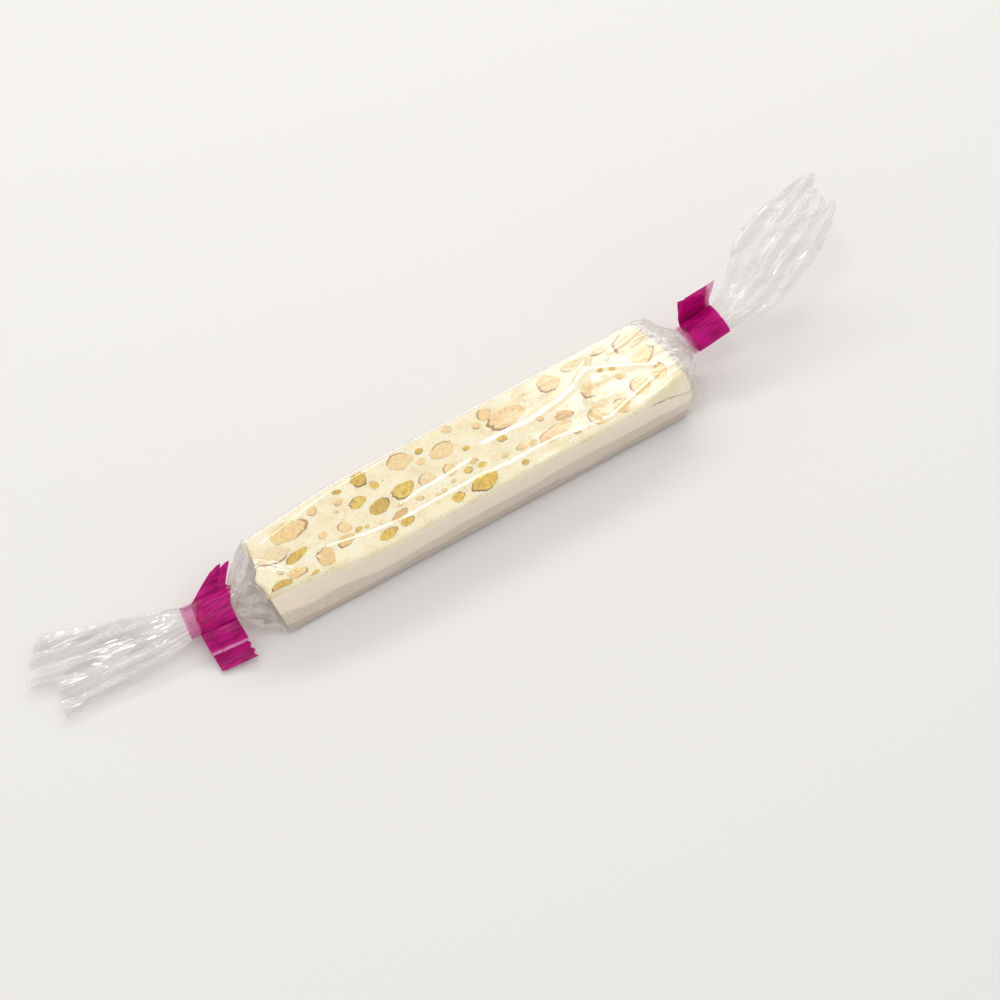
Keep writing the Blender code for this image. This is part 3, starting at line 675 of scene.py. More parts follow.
def shape_nut(placing, spot, relief, draw, keep):
    """One nut sunk into a face: a flat cap with an uneven almond outline and a skin on one side."""
    kind, long, wide = spot
    bm = bmesh.new()
    skin, tone = (bm.verts.layers.float.new(name) for name in ("skin", "tone"))
    bmesh.ops.create_uvsphere(bm, u_segments=44, v_segments=12, radius=1.0)
    seed = draw.uniform(0.0, 90.0)
    skin_turn = draw.uniform(0.0, math.tau)
    shade = draw.uniform(*TONES[kind])
    for vert in bm.verts:
        x, y, z = vert.co
        angle = math.atan2(y, x)
        wander = 1.0
        for rough, deep in NUT_WANDER:
            wander += deep * noise.noise(Vector((rough * math.cos(angle), rough * math.sin(angle), seed)))
        point = 1.0 - 0.24 * max(0.0, x) * abs(y)
        height = relief * abs(z) ** 0.35 if z > 0 else -NUT_DEPTH * abs(z) ** 0.5
        reach = math.hypot(x, y)
        vert.co = keep(placing @ Vector((x * wander * long / 2, y * wander * wide / 2 * point, height)))
        vert[skin] = smooth(0.66, 0.95, reach) * (0.3 + 0.7 * max(0.0, math.cos(angle - skin_turn)))
        vert[tone] = shade
    return bm


def on_top(depth):
    """A rule that lays a nut's points on the waved top face and holds them inside its rim."""
    def keep(co):
        rims = [draw_in(Vector((co.x, side * PASTE_WIDTH / 2, PASTE_HIGH))).y for side in (-1.0, 1.0)]
        y = max(rims[0] + NUT_RIM, min(rims[1] - NUT_RIM, co.y))
        x = max(left_end(y, PASTE_HIGH) + NUT_END_RIM, min(right_end(y, PASTE_HIGH) - NUT_END_RIM, co.x))
        spot = Vector((x, y, co.z + cut_wave(x, y, PASTE_HIGH, depth) * NUT_FOLLOW))
        return keep_worn(spot, NUT_INSET)
    return keep


def on_bottom(co):
    y = max(-PASTE_WIDTH / 2 + LOW_RIM, min(PASTE_WIDTH / 2 - LOW_RIM, co.y))
    x = max(left_end(y, PASTE_LOW) + LOW_END_RIM, min(right_end(y, PASTE_LOW) - LOW_END_RIM, co.x))
    return Vector((x, y, co.z))


# Nuts placed by a rule: how many, how far from the middle along the bar, and their lengths
SMALL_TOP_NUTS = (34, 71.0, (1.4, 3.4))
LOW_NUTS = (40, 68.0, (3.5, 12.0))
SCATTER_ACROSS = 11.0
SCATTER_CLEAR = 0.55
# Nuts in each end face: how many, the first one's Y, the step between them, and their two heights
END_NUTS, END_NUT_FIRST, END_NUT_STEP, END_NUT_HEIGHTS = 6, -9.6, 3.8, (6.4, 13.4)


def scatter(count, reach, sizes, taken, draw):
    """Places for more nuts that keep clear of those already there."""
    places = []
    while len(places) < count:
        x, y = draw.uniform(-reach, reach), draw.uniform(-SCATTER_ACROSS, SCATTER_ACROSS)
        long = draw.uniform(*sizes)
        gaps = [
            math.hypot((x - other[0]) / (long + other[2]), (y - other[1]) / (long + other[3]))
            for other in taken + places
        ]
        if min(gaps, default=1.0) > SCATTER_CLEAR:
            places.append((x, y, long, long * draw.uniform(0.5, 0.8), draw.uniform(-40.0, 40.0)))
    return places


def laid(x, y, z, turn, over=0.0):
    """The frame of a nut on a level face, rolled over by an angle about X."""
    place = Matrix.Translation((x, y, z)) @ Matrix.Rotation(over, 4, "X")
    return place @ Matrix.Rotation(math.radians(turn), 4, "Z")


def nut_spots(draw):
    """Every nut: kind, length, width, the frame it lies in and the face it lies on."""
    spots = []
    for kind, x, y, long, wide, turn in TOP_NUTS:
        spots.append((kind, long, wide, laid(x, y, PASTE_HIGH, turn), "top"))
    taken = [spot[1:5] for spot in TOP_NUTS]
    for x, y, long, wide, turn in scatter(*SMALL_TOP_NUTS, taken, draw):
        kind = draw.choice(("almond", "almond", "pistachio"))
        spots.append((kind, long, wide, laid(x, y, PASTE_HIGH, turn), "top"))
    for x, y, long, wide, turn in scatter(*LOW_NUTS, [], draw):
        kind = draw.choice(("almond", "almond", "pistachio", "pale"))
        spots.append((kind, long, wide, laid(x, y, PASTE_LOW, turn, math.pi), "bottom"))
    for end, side in ((left_end, -1.0), (right_end, 1.0)):
        for step in range(END_NUTS):
            y = END_NUT_FIRST + END_NUT_STEP * step + draw.uniform(-0.6, 0.6)
            z = END_NUT_HEIGHTS[step % 2] + draw.uniform(-0.8, 0.8)
            lean = Vector((1.0, end(0.0, z) - end(1.0, z), end(y, 0.0) - end(y, 1.0))) * side
            square = lean.to_track_quat("Z", "Y").to_matrix().to_4x4()
            kind = draw.choice(("almond", "pistachio"))
            frame_end = Matrix.Translation((end(y, z), y, z)) @ square
            spots.append((kind, draw.uniform(4.0, 7.0), draw.uniform(3.0, 4.4), frame_end, "end"))
    return spots


def make_nuts(settings):
    draw = random.Random(SEED)
    relief = settings.relief / MM
    keeps = {"top": on_top(settings.wave / MM), "bottom": on_bottom, "end": Vector}
    materials = {
        "almonds": nut_material(
            "cut almond", settings.almond_colour, linear("#DDAE6A"), settings.skin_colour, 0.55
        ),
        "pistachios": nut_material(
            "cut pistachio", settings.pistachio_colour, linear("#B58E26"), linear("#7A5A30"), 0.75
        ),
    }
    meshes = {name: bmesh.new() for name in materials}
    scratch = bpy.data.meshes.new("one nut")
    for kind, long, wide, placing, face in nut_spots(draw):
        one = shape_nut(placing, (kind, long, wide), relief, draw, keeps[face])
        one.to_mesh(scratch)
        one.free()
        meshes["pistachios" if kind == "pistachio" else "almonds"].from_mesh(scratch)
    bpy.data.meshes.remove(scratch)
    for name, bm in meshes.items():
        finish_piece(name, bm, materials[name], ["nougat"], True)


def make_wafers(settings):
    material = wafer_material(settings)
    thick = settings.wafer / MM
    for name, side in (("wafer_sheet_front", -1.0), ("wafer_sheet_back", 1.0)):
        inner = side * (PASTE_WIDTH / 2 - WAFER_SUNK)
        outer = inner + side * thick
        faces = sorted((inner, outer))
        bm = fine_slab(*faces, WAFER_LOW, WAFER_TOP, WAFER_EDGE, -WAFER_EDGE, WAFER_CELLS)
        for vert in bm.verts:
            x, y, z = vert.co
            ragged = 0.5 * noise.noise(Vector((x * 0.35, side, 5.0)))
            ragged += 0.25 * noise.noise(Vector((x * 1.9, side, 9.0)))
            top = smooth(9.0, WAFER_TOP, z)
            ripple = 0.2 * noise.noise(Vector((x * 0.1, side * 4.0, z * 0.16)))
            ripple += 0.06 * noise.noise(Vector((x * 0.7, side, z * 0.7)))
            y += side * (ripple + 0.1 - 0.4 * top)
            vert.co = draw_in(Vector((x, y, z + top * (0.7 * ragged - 0.1))))
        cut = bmesh.ops.bisect_plane(
            bm, geom=bm.verts[:] + bm.edges[:] + bm.faces[:], clear_outer=True,
            plane_co=WORN_FIRST - WORN_NORMAL * WORN_INSET, plane_no=WORN_NORMAL,
        )
        rim = [item for item in cut["geom_cut"] if isinstance(item, bmesh.types.BMEdge)]
        if rim:
            bmesh.ops.holes_fill(bm, edges=rim, sides=0)
        finish_piece(name, bm, material, ["wafer_front" if side < 0 else "wafer_back"], True)


def axis_frame(centre, heading, rise):
    """A frame whose X runs along the wrap, Y across it and Z up."""
    turn = Matrix.Rotation(math.radians(heading), 4, "Z") @ Matrix.Rotation(math.radians(-rise), 4, "Y")
    return Matrix.Translation(centre) @ turn


def zigzag(place):
    """A sharp fold: from 1 down to -1 and back as place grows by 1."""
    return 4.0 * abs(place - math.floor(place + 0.5)) - 1.0


def pleat_at(t, count, seed):
    """Uneven pleats across one side of the film."""
    warped = t * count + 0.55 * noise.noise(Vector((t * count * 0.45, seed, 0.0)))
    strength = 0.75 + 0.5 * noise.noise(Vector((t * count * 0.3, seed, 8.0)))
    return strength * zigzag(warped)


def box_section(t, side):
    """The film round the bar: half a rounded rectangle, from -Y at t = 0 to +Y at t = 1."""
    middle = (FILM_LOW + FILM_HIGH) / 2
    tall = FILM_HIGH - middle
    if t < FILM_RISER:
        y, z = -FILM_HALF, tall * t / FILM_RISER
    elif t > 1.0 - FILM_RISER:
        y, z = FILM_HALF, tall * (1.0 - t) / FILM_RISER
    else:
        y, z = FILM_HALF * (2.0 * (t - FILM_RISER) / (1.0 - 2.0 * FILM_RISER) - 1.0), tall
    inner = Vector((max(-FILM_HALF + FILM_EDGE, min(FILM_HALF - FILM_EDGE, y)), min(z, tall - FILM_EDGE)))
    out = Vector((y, z)) - inner
    if out.length > 0.0:
        out = out.normalized() * FILM_EDGE
    return inner.x + out.x, middle + side * (inner.y + out.y)


def blade_section(t, side, half_width, half_thickness, even):
    """A flat lens, from -Y at t = 0 to +Y at t = 1. even is 1 for columns at even distances."""
    across = blend(-math.cos(math.pi * t), 2.0 * t - 1.0, even)
    return across, half_width * across, side * half_thickness * math.sqrt(max(0.0, 1.0 - across * across))


def edge_offset(edge, across):
    """How far a tail's free edge reaches past its mean, at a place from -1 to 1 across it."""
    for (start, low), (end, high) in zip(edge, edge[1:]):
        if across <= end:
            return blend(low, high, (across - start) / (end - start))
    return edge[-1][1]


def left_tail(share):
    neck = axis_frame(*LEFT_NECK)
    start = neck @ Vector((-NECK_LENGTH / 2, 0.0, 0.0))
    heading = math.radians(LEFT_NECK[1])
    centre = start - Vector((math.cos(heading), math.sin(heading), 0.0)) * share * TAIL_LENGTH
    centre.z = blend(start.z, LEFT_TAIL_LOW, min(1.0, 1.6 * share) ** 0.7)
    half_width = blend(NECK_HALF_WIDTH, LEFT_TAIL_HALF_WIDTH, share**0.65)
    return axis_frame(centre, LEFT_NECK[1], LEFT_NECK[2] * (1 - share)), half_width


def right_tail(share):
    neck = axis_frame(*RIGHT_NECK)
    start = neck @ Vector((NECK_LENGTH / 2, 0.0, 0.0))
    heading = RIGHT_NECK[1] + RIGHT_TAIL_TURN * min(1.0, 2.0 * share)
    rise = RIGHT_NECK[2] + RIGHT_TAIL_LIFT * share
    mean_heading = math.radians(blend(RIGHT_NECK[1], heading, 0.8))
    mean_rise = math.radians(blend(RIGHT_NECK[2], rise, 0.9))
    direction = Vector((math.cos(mean_heading), math.sin(mean_heading), math.tan(mean_rise)))
    half_width = NECK_HALF_WIDTH + RIGHT_TAIL_BULGE * math.sin(math.pi * 0.82 * share)
    return axis_frame(start + direction * share * TAIL_LENGTH, heading, rise), half_width


ENDS = {
    "left": {
        "tail": left_tail, "edge": LEFT_EDGE, "neck": LEFT_NECK, "end": left_end,
        "out": -1.0, "ease": 1.0, "seed": 3.0,
    },
    "right": {
        "tail": right_tail, "edge": RIGHT_EDGE, "neck": RIGHT_NECK, "end": right_end,
        "out": 1.0, "ease": 1.35, "seed": 40.0,
    },
}
TAIL_PLEATS = 5
NECK_PLEATS = 10
GATHER_PLEATS = 8
NECK_FOLD = 0.55
GATHER_FOLD = 0.7
GATHER_CRUSH = 3.4
TOP_COLUMNS = 144
LOW_COLUMNS = 70
COLUMNS = [(column / TOP_COLUMNS, 1.0) for column in range(TOP_COLUMNS)]
COLUMNS += [(1.0 - column / LOW_COLUMNS, -1.0) for column in range(LOW_COLUMNS)]


def pleats(count, seed):
    """The pleats of every column, worked out once for a ring of columns."""
    return [pleat_at(t, count, seed) for t, side in COLUMNS]


# Scales of the folds along and across the film: long ones, those that differ per layer, and fine ones
LONG_FOLD, LAYER_FOLD, FINE_FOLD = (0.03, 0.16), (0.05, 0.35), (0.12, 0.8)
LAYER_SHARE, FINE_SHARE = 0.5, 0.12
GATHER_FOLDS, GATHER_FACETS = (0.1, 5.0), (0.22, 9.0)
TAIL_HALF_THICKNESS = 0.5


def sharp_folds(x, y, seed):
    """Folds that wander and meet, each coming to a sharp crest."""
    return 0.5 - 2.0 * abs(noise.noise(Vector((x, y, seed + 0.5))))


def tail_ring(where, share, settings):
    """The film in a tail: two layers that share their pleats and open towards the free edge."""
    placing, half_width = where["tail"](share)
    thickness = blend(NECK_HALF_THICKNESS, TAIL_HALF_THICKNESS, min(1.0, 1.5 * share))
    pleat = settings.pleat / MM * smooth(0.0, 0.45, share)
    bunch = (1.0 - smooth(0.0, 0.35, share)) * NECK_FOLD
    crush = settings.crumple / MM * 2.0 * smooth(0.1, 0.6, share)
    run = share * TAIL_LENGTH
    ring = []
    for (t, side), wide, tight in zip(COLUMNS, where["wide"], where["tight"]):
        across, y, z = blade_section(t, side, half_width, thickness, share**0.5)
        z += pleat * wide + bunch * tight
        folds = sharp_folds(run * LONG_FOLD[0], y * LONG_FOLD[1], where["seed"])
        folds += LAYER_SHARE * sharp_folds(run * LAYER_FOLD[0], y * LAYER_FOLD[1], side)
        folds += FINE_SHARE * sharp_folds(run * FINE_FOLD[0], y * FINE_FOLD[1], where["seed"] + side)
        z += crush * folds
        ring.append(placing @ Vector((edge_offset(where["edge"], across) * share**3, y, z)))
    return ring


def neck_ring(where, share, settings):
    """The bunched film under the tape, from the bar's side at share 0 to the tail's at 1."""
    placing = axis_frame(*where["neck"])
    along = where["out"] * NECK_LENGTH * (share - 0.5)
    ring = []
    for (t, side), tight in zip(COLUMNS, where["tight"]):
        across, y, z = blade_section(t, side, NECK_HALF_WIDTH, NECK_HALF_THICKNESS, 0.0)
        ring.append(placing @ Vector((along, y, z + NECK_FOLD * tight)))
    return ring


def bar_end_point(where, t, side):
    y, z = box_section(t, side)
    x = where["end"](y, z) + where["out"] * END_ROOM
    return keep_worn(draw_in(Vector((x, y, z))), FILM_INSET)


def facets(x, y, seed):
    """Crushed film: flat facets that meet in sharp folds, from -0.5 to about 0.5."""
    return noise.voronoi(Vector((x, y, seed)))[0][0] - 0.5


def gather_ring(where, share, settings):
    """The film between the bar's end and its neck, drawn in by pleats that sharpen towards the neck."""
    swell = math.sin(math.pi * share) * smooth(0.0, 0.3, share if share < 0.5 else 1.0 - share)
    deep = GATHER_FOLD * swell
    crushed = GATHER_CRUSH * settings.crumple / MM * swell
    ring = []
    for (t, side), inner, drawn in zip(COLUMNS, neck_ring(where, 0.0, settings), where["drawn"]):
        outer = bar_end_point(where, t, side)
        point = outer.lerp(inner, share ** where["ease"])
        point.x = blend(outer.x, inner.x, share)
        out = Vector((0.0, outer.y, outer.z - BAR_MIDDLE)).normalized()
        around = t if side > 0 else 2.0 - t
        fold = sharp_folds(point.x * GATHER_FOLDS[0], around * GATHER_FOLDS[1], where["seed"])
        fold += facets(point.x * GATHER_FACETS[0], around * GATHER_FACETS[1], where["seed"])
        ring.append(point + out * (deep * drawn + crushed * fold))
    return ring


def crease_rise(x, y):
    """How far the creases lift the film at a place over the top face.

    Each crease is a fold with a long even flank on its far side, which mirrors the window as one
    clear line, and a short steep one on its near side.
    """
    rise = 0.0
    for line, wide, high in CREASES:
        for (ax, ay), (bx, by) in zip(line, line[1:]):
            beside = not min(ax, bx) - wide < x < max(ax, bx) + wide
            if beside or not min(ay, by) - wide < y < max(ay, by) + wide:
                continue
            long = math.hypot(bx - ax, by - ay)
            share = max(0.0, min(1.0, ((x - ax) * (bx - ax) + (y - ay) * (by - ay)) / long**2))
            apart = math.hypot(x - blend(ax, bx, share), y - blend(ay, by, share))
            far = ((bx - ax) * (y - ay) - (by - ay) * (x - ax)) * (1.0 if bx > ax else -1.0) > 0.0
            flank = wide if far else wide * CREASE_BACK
            rise = max(rise, high * (1.0 - apart / flank))
    return rise


# Pleats run from the gathers into the sleeve: how far, how deep, and how soon they fade and begin
SLEEVE_LENGTH = 151.0
RUN_IN, RUN_IN_DEPTH, RUN_IN_FADE, RUN_IN_START = 22.0, 0.14, 5.0, 1.2
SLEEVE_RIPPLE = 0.10


def sleeve_ring(where, share, settings):
    """The film round the bar, with creases over the top and pleats that run in from the gathers."""
    ring = []
    run_ins = []
    for name, near in (("left", share * SLEEVE_LENGTH), ("right", (1.0 - share) * SLEEVE_LENGTH)):
        if near < RUN_IN:
            depth = RUN_IN_DEPTH * (math.exp(-near / RUN_IN_FADE) - math.exp(-near / RUN_IN_START))
            run_ins.append((depth, ENDS[name]["drawn"]))
    for column, (t, side) in enumerate(COLUMNS):
        y, z = box_section(t, side)
        x = blend(left_end(y, z) - END_ROOM, right_end(y, z) + END_ROOM, share)
        point = Vector((x, y, z))
        out = Vector((0.0, y, z - BAR_MIDDLE)).normalized()
        if side > 0 and abs(y) < FILM_FLAT:
            out = Vector((0.0, 0.0, 1.0))
            point.z += settings.crease * crease_rise(x, y)
        ripple = SLEEVE_RIPPLE * noise.noise(Vector((x * 0.05, y * 0.22, z * 0.2)))
        for strength, drawn in run_ins:
            ripple += strength * drawn[column]
        ring.append(keep_worn(draw_in(point + out * ripple), FILM_INSET))
    return ring


RINGS = {"tail": tail_ring, "neck": neck_ring, "gather": gather_ring, "sleeve": sleeve_ring}
# Rings of film in each stretch
ROWS = {"tail": 64, "neck": 14, "gather": 34}
SLEEVE_ROWS = 196
# How much closer the sleeve's rings stand near both ends, where creases run across the bar
SLEEVE_BUNCH = 0.55


def film_stations():
    """Every ring of the film from the left free edge to the right one: stretch, end and share."""
    stations = []
    for part in ("tail", "neck", "gather"):
        stations += [(part, "left", 1.0 - row / ROWS[part]) for row in range(ROWS[part])]
    for row in range(SLEEVE_ROWS + 1):
        even = row / SLEEVE_ROWS
        bunched = 0.5 - 0.5 * math.cos(math.pi * even)
        stations.append(("sleeve", "", blend(even, bunched, SLEEVE_BUNCH)))
    for part in ("gather", "neck", "tail"):
        stations += [(part, "right", (row + 1) / ROWS[part]) for row in range(ROWS[part])]
    return stations


# How milky, how crinkled and how grey each stretch of the film is; the grey is painted shade and painted
# reflection
LOOKS = {
    "haze": {"tail": 0.3, "neck": 0.6, "gather": 0.34, "sleeve": 0.01},
    "crush": {"tail": 0.05, "neck": 0.3, "gather": 0.15, "sleeve": 0.05},
    "smoke": {"tail": 0.12, "neck": 0.3, "gather": 0.3, "sleeve": 0.0},
}
# Lowest height of the film and of the tape, and how near to each other film points are joined
FILM_FLOOR, TAPE_FLOOR = 0.06, 0.1
FILM_JOIN = 0.0005


def make_film(settings):
    for where in ENDS.values():
        where["wide"] = pleats(TAIL_PLEATS, where["seed"])
        where["tight"] = pleats(NECK_PLEATS, where["seed"] + 5.0)
        where["drawn"] = pleats(GATHER_PLEATS, where["seed"] + 9.0)
    stations = film_stations()
    rings = [RINGS[part](ENDS.get(name), share, settings) for part, name, share in stations]
    rows, columns = len(stations) - 1, len(COLUMNS)
    bm = bmesh.new()
    layers = [(bm.verts.layers.float.new(name), values) for name, values in LOOKS.items()]
    bmesh.ops.create_grid(bm, x_segments=rows, y_segments=columns, size=0.5)
    for vert in bm.verts:
        row = round((vert.co.x + 0.5) * rows)
        column = round((vert.co.y + 0.5) * columns) % columns
        vert.co = rings[row][column]
        vert.co.z = max(vert.co.z, FILM_FLOOR)
        for layer, values in layers:
            vert[layer] = values[stations[row][0]]
    bmesh.ops.remove_doubles(bm, verts=bm.verts, dist=FILM_JOIN)
    return finish_piece("film", bm, film_material(settings), ["film_wrap"], True)


def oval_route(start, end, steps):
    """Points on the band's oval between two angles in degrees, 0 at +Y and 90 on top."""
    angles = [math.radians(blend(start, end, step / steps)) for step in range(steps + 1)]
    return [(TAPE_OVAL[0] * math.cos(a), TAPE_OVAL[1] * math.sin(a)) for a in angles]


def resample(route, count):
    """Points at even distances along a route."""
    points = [Vector(point) for point in route]
    lengths = [0.0]
    for a, b in zip(points, points[1:]):
        lengths.append(lengths[-1] + (b - a).length)
    out = []
    for index in range(count + 1):
        want = lengths[-1] * index / count
        place = next(i for i in range(1, len(points)) if lengths[i] >= want - 1e-9)
        span = lengths[place] - lengths[place - 1]
        out.append(points[place - 1].lerp(points[place], (want - lengths[place - 1]) / span))
    return out, lengths[-1]


def ahead_at(route, index):
    """The direction of a route at one of its points."""
    return (Vector(route[min(index + 1, len(route) - 1)]) - Vector(route[max(index - 1, 0)])).normalized()


def tape_strip(bm, neck, route, place, flags, single=0.0):
    """One layer of tape along a route across the neck.

    place gives the layer's width, how far it is moved along the wrap, and how far it turns as it
    crosses the neck. flags gives, for each end, how long its tab is, its slant, how much further
    its +X side reaches, how far from its end it is creased with a painted highlight line, by how much
    it narrows at once and towards its end, and the share of its width that is a thin single layer.
    single is 1 for a strip that is one thin layer all over.
    """
    placing = axis_frame(*neck)
    width, shift, turn = place
    points, total = resample(route, TAPE_STEPS)
    worn, alone = (bm.verts.layers.float[name] for name in ("worn", "single"))
    made = bmesh.ops.create_grid(bm, x_segments=TAPE_STEPS, y_segments=TAPE_LANES, size=0.5)["verts"]
    for vert in made:
        index = round((vert.co.x + 0.5) * TAPE_STEPS)
        lane = round((vert.co.y + 0.5) * TAPE_LANES) / TAPE_LANES
        y, z = points[index]
        ahead = ahead_at(points, index)
        x = (lane - 0.5) * width + shift + turn * max(-0.2, min(1.0, y / TAPE_OVAL[0]))
        gone = index / TAPE_STEPS * total
        wrinkle = TAPE_WRINKLE * noise.noise(Vector((x * 0.1, gone * 0.55, 4.0)))
        vert[alone] = single
        for near, flag, way in ((gone, flags[0], -1.0), (total - gone, flags[1], 1.0)):
            tab, slant, reach, crease, taper, thin = flag
            if tab and near < tab:
                if lane > 1.0 - thin:
                    vert[alone] = THIN_FLAG
                share = 1.0 - near / tab
                x += slant * share - lane * (taper[0] * smooth(0.0, 0.25, share) + taper[1] * share)
                further = reach * share * min(1.0, lane / TAB_LEVEL)
                y += way * ahead.x * further
                z += way * ahead.y * further
            if crease:
                # The crease is marked for a painted highlight line in the material, and lifted a little
                fold = max(0.0, 1.0 - abs(near - crease) / CREASE_HALF)
                vert[worn] = max(vert[worn], fold)
                wrinkle += CREASE_LIFT * fold
                if near < crease and lane > TOOTH_LANE:
                    bite = (lane - TOOTH_LANE) / (1.0 - TOOTH_LANE)
                    x -= TOOTH * bite * (0.5 + 0.5 * zigzag(near / TOOTH_STEP))
        if single:
            wrinkle += SINGLE_CRUSH * facets(x * 0.45, gone * 0.4, 2.0)
        vert.co = placing @ Vector((x, y - ahead.y * wrinkle, z + ahead.x * wrinkle))


def lifted(route, step):
    """A tab's route moved square to itself, so that two layers lie on each other."""
    out = []
    for index, (y, z) in enumerate(route):
        ahead = ahead_at(route, index)
        out.append((y - ahead.y * step, z + ahead.x * step))
    return out


# Flags as tape_strip takes them
STRAIGHT = (0.0, 0.0)
PLAIN = (0.0, 0.0, 0.0, 0.0, STRAIGHT, 0.0)
LEFT_FRONT = (13.0, 1.6, 0.0, 6.2, STRAIGHT, 0.0)
LEFT_FRONT_UNDER = (13.0, 1.6, 0.0, 6.0, STRAIGHT, 0.0)
LEFT_REAR = (7.4, 9.6, 1.4, 0.0, (3.1, 4.3), 0.0)
RIGHT_NEAR = (11.0, 4.2, -0.6, 0.0, STRAIGHT, 0.24)
RIGHT_FAR = (11.5, 1.6, -3.4, 0.0, STRAIGHT, 0.1)


def tape_strips():
    """The strips of each closure: route, place, flags, and 1 for a single layer.

    On the left two layers are stuck to each other, and on the right one doubles back. Each closure
    has a single turn of crushed tape beside it.
    """
    front = LEFT_FRONT_TAB[::-1]
    over = lifted(front, -TAPE_APART) + oval_route(176, 4, 24) + lifted(LEFT_REAR_TAB, TAPE_APART)
    under = lifted(front, TAPE_APART) + oval_route(184, 356, 24) + lifted(LEFT_REAR_TAB, -TAPE_APART)
    back = lifted(RIGHT_REAR_TAB, TAPE_APART)[::-1]
    doubled = back + oval_route(4, 356, 44) + lifted(RIGHT_REAR_TAB, -TAPE_APART)
    turn = oval_route(190, 20, 30)
    short_turn = oval_route(176, 20, 30)
    return {
        "closure_left": (
            (over, (11.6, 1.9, 2.2), (LEFT_FRONT, LEFT_REAR), 0.0),
            (under, (11.8, 0.8, 0.4), (LEFT_FRONT_UNDER, LEFT_REAR), 0.0),
            (turn, (7.5, -4.4, 0.0), (PLAIN, PLAIN), 1.0),
        ),
        "closure_right": (
            (doubled, (11.8, 1.0, 0.0), (RIGHT_NEAR, RIGHT_FAR), 0.0),
            (short_turn, (3.0, -5.6, 0.0), (PLAIN, PLAIN), 1.0),
        ),
    }


def make_tapes(settings):
    material = tape_material(settings)
    strips = tape_strips()
    for side, neck in (("left", LEFT_NECK), ("right", RIGHT_NECK)):
        bm = bmesh.new()
        for layer in ("worn", "single"):
            bm.verts.layers.float.new(layer)
        for strip in strips["closure_" + side]:
            tape_strip(bm, neck, *strip)
        for vert in bm.verts:
            vert.co.z = max(vert.co.z, TAPE_FLOOR)
        finish_piece("closure_" + side, bm, material, ["tape_" + side])


# Camera: the photograph's angle, from a pixel of its square frame and the point seen there
CAMERA_TURN = -32.1
CAMERA_TILT = 30.0
CAMERA_LENS = 135.0
CAMERA_DEPTH = 1175.55
CAMERA_TARGET = Vector((-3.0, 0.0, 20.2))
TARGET_PIXEL = (456.0, 462.0)
FRAME_PIXELS = 1000.0
SENSOR_WIDTH = 36.0

# Lights: name, place in metres, the setting that holds its power and its share of it, size and tint
LIGHTS = (
    ("window", (0.30, 0.83, 0.80), "key", 1.0, (1.3, 0.17), "#FFFDF8"),
    ("overhead", (-0.25, 0.1, 1.2), "key", 0.4, (0.5, 0.12), "#FFFFFF"),
    ("sky over the middle", (0.57, 0.68, 1.34), "sheen", 1.0, (0.18, 0.13), "#FFFFFF"),
    ("side window", (0.80, 0.68, 1.13), "sheen", 1.0, (0.3, 0.24), "#FFFFFF"),
)
FLOOR_HALF = 2.0
SKY_STRENGTH = 0.86


def make_camera():
    turn = math.radians(CAMERA_TURN)
    tilt = math.radians(CAMERA_TILT)
    rotation = Matrix.Rotation(turn, 4, "Z") @ Matrix.Rotation(tilt, 4, "X")
    focal = CAMERA_LENS / SENSOR_WIDTH * FRAME_PIXELS
    middle = FRAME_PIXELS / 2
    ray = Vector(((TARGET_PIXEL[0] - middle) / focal, (middle - TARGET_PIXEL[1]) / focal, -1.0))
    place = CAMERA_TARGET - CAMERA_DEPTH * (rotation.to_3x3() @ ray)
    data = bpy.data.cameras.new("photograph view")
    data.lens = CAMERA_LENS
    data.sensor_width = SENSOR_WIDTH
    data.clip_end = 20.0
    camera = bpy.data.objects.new("photograph view", data)
    camera.matrix_world = Matrix.Translation(place * MM) @ rotation
    bpy.context.scene.collection.objects.link(camera)
    bpy.context.scene.camera = camera


def make_light(name, place, power, size, tint):
    """A rectangular light that faces the middle of the bar's underside."""
    data = bpy.data.lights.new(name, "AREA")
    data.energy = power
    data.shape = "RECTANGLE"
    data.size, data.size_y = size
    data.color = linear(tint)[:3]
    lamp = bpy.data.objects.new(name, data)
    lamp.location = place
    lamp.rotation_euler = (-Vector(place)).to_track_quat("-Z", "Y").to_euler()
    bpy.context.scene.collection.objects.link(lamp)


def make_stage(settings):
    """A plain floor, a pale room and soft lights, with the photograph's camera."""
    bm = bmesh.new()
    bmesh.ops.create_grid(bm, x_segments=1, y_segments=1, size=FLOOR_HALF)
    mesh = bpy.data.meshes.new("floor")
    bm.to_mesh(mesh)
    bm.free()
    material, tree, mm, output = start_material("matte paper floor")
    paper = add(tree, "ShaderNodeBsdfPrincipled", {"Base Color": settings.floor_colour, "Roughness": 0.85})
    tree.links.new(paper.outputs[0], output.inputs["Surface"])
    mesh.materials.append(material)
    floor = bpy.data.objects.new("floor", mesh)
    bpy.context.scene.collection.objects.link(floor)
    for name, place, power, share, size, tint in LIGHTS:
        make_light(name, place, getattr(settings, power) * share, size, tint)
    world = bpy.data.worlds.new("pale room")
    world.use_nodes = True
    sky = world.node_tree
    sky.nodes.clear()
    back = add(sky, "ShaderNodeBackground", {"Color": linear("#F4F4F4"), "Strength": SKY_STRENGTH})
    add(sky, "ShaderNodeOutputWorld", {"Surface": back.outputs[0]})
    bpy.context.scene.world = world
    bpy.context.scene.view_settings.view_transform = "Standard"
    make_camera()


class NOUGAT_OT_paste(bpy.types.Operator):
    """Make the slab of nougat paste"""
    bl_idname = "nougat.paste"
    bl_label = "Nougat paste"

    def execute(self, context):
        make_paste(context.scene.nougat_bar)
        return {"FINISHED"}


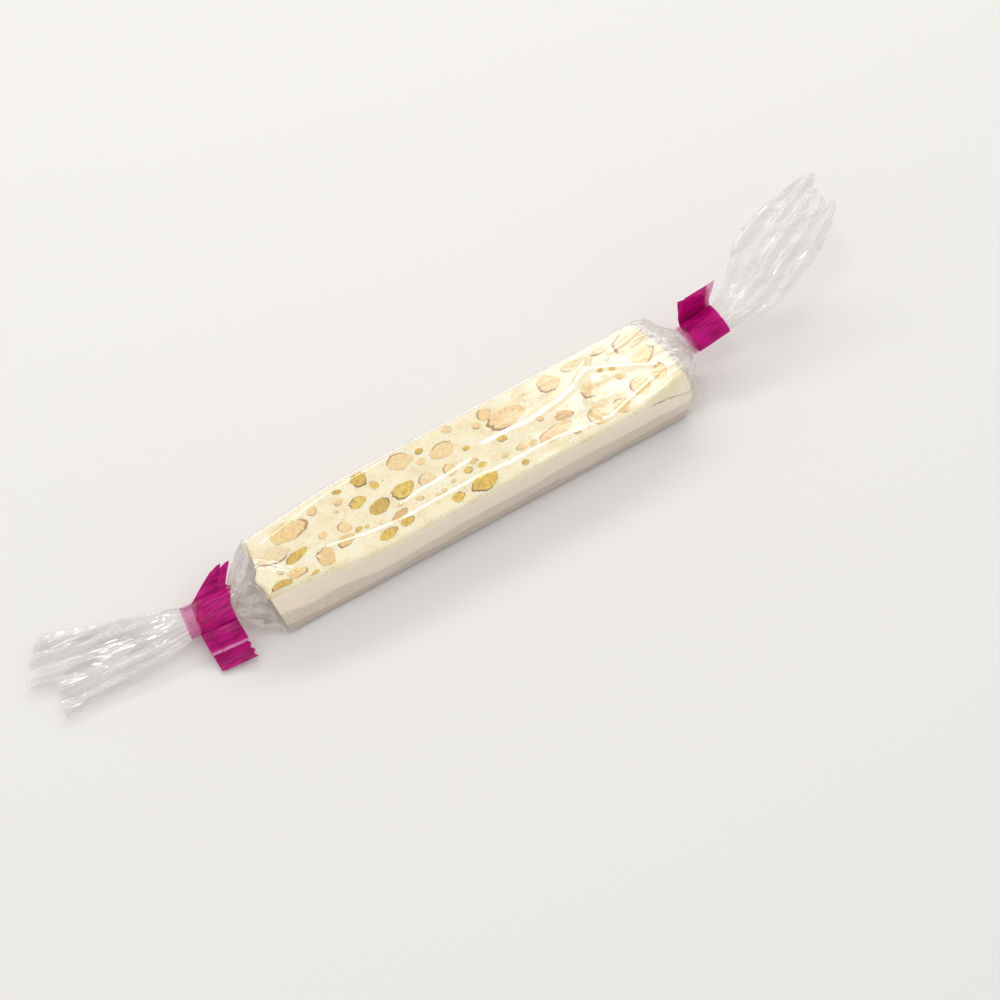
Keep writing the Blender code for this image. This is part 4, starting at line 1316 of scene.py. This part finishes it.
class NOUGAT_OT_nuts(bpy.types.Operator):
    """Make the almonds and pistachios in the cut faces"""
    bl_idname = "nougat.nuts"
    bl_label = "Nuts"

    def execute(self, context):
        make_nuts(context.scene.nougat_bar)
        return {"FINISHED"}


class NOUGAT_OT_wafers(bpy.types.Operator):
    """Make the two wafer sheets"""
    bl_idname = "nougat.wafers"
    bl_label = "Wafer sheets"

    def execute(self, context):
        make_wafers(context.scene.nougat_bar)
        return {"FINISHED"}


class NOUGAT_OT_film(bpy.types.Operator):
    """Make the clear film with its gathers and tails"""
    bl_idname = "nougat.film"
    bl_label = "Film"

    def execute(self, context):
        make_film(context.scene.nougat_wrap)
        return {"FINISHED"}


class NOUGAT_OT_tapes(bpy.types.Operator):
    """Make the two tape closures"""
    bl_idname = "nougat.tapes"
    bl_label = "Tape closures"

    def execute(self, context):
        make_tapes(context.scene.nougat_wrap)
        return {"FINISHED"}


class NOUGAT_OT_stage(bpy.types.Operator):
    """Make the floor, the lights and the camera"""
    bl_idname = "nougat.stage"
    bl_label = "Stage"

    def execute(self, context):
        make_stage(context.scene.nougat_stage)
        return {"FINISHED"}


STEPS = ("paste", "nuts", "wafers", "film", "tapes", "stage")


class VIEW3D_PT_nougat(bpy.types.Panel):
    bl_label = "Nougat bar"
    bl_space_type = "VIEW_3D"
    bl_region_type = "UI"
    bl_category = "Nougat"

    def draw(self, context):
        for step in STEPS:
            self.layout.operator("nougat." + step)
        for group in (context.scene.nougat_bar, context.scene.nougat_wrap, context.scene.nougat_stage):
            for name in group.__annotations__:
                self.layout.prop(group, name)


CLASSES = (
    NougatBarSettings, NougatWrapSettings, NougatStageSettings,
    NOUGAT_OT_paste, NOUGAT_OT_nuts, NOUGAT_OT_wafers, NOUGAT_OT_film, NOUGAT_OT_tapes, NOUGAT_OT_stage,
    VIEW3D_PT_nougat,
)


def register():
    for item in CLASSES:
        bpy.utils.register_class(item)
    bpy.types.Scene.nougat_bar = bpy.props.PointerProperty(type=NougatBarSettings)
    bpy.types.Scene.nougat_wrap = bpy.props.PointerProperty(type=NougatWrapSettings)
    bpy.types.Scene.nougat_stage = bpy.props.PointerProperty(type=NougatStageSettings)


def unregister():
    for name in ("nougat_stage", "nougat_wrap", "nougat_bar"):
        delattr(bpy.types.Scene, name)
    for item in reversed(CLASSES):
        bpy.utils.unregister_class(item)


def main():
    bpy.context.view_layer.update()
    register()
    for step in STEPS:
        getattr(bpy.ops.nougat, step)()


if __name__ == "__main__":
    main()
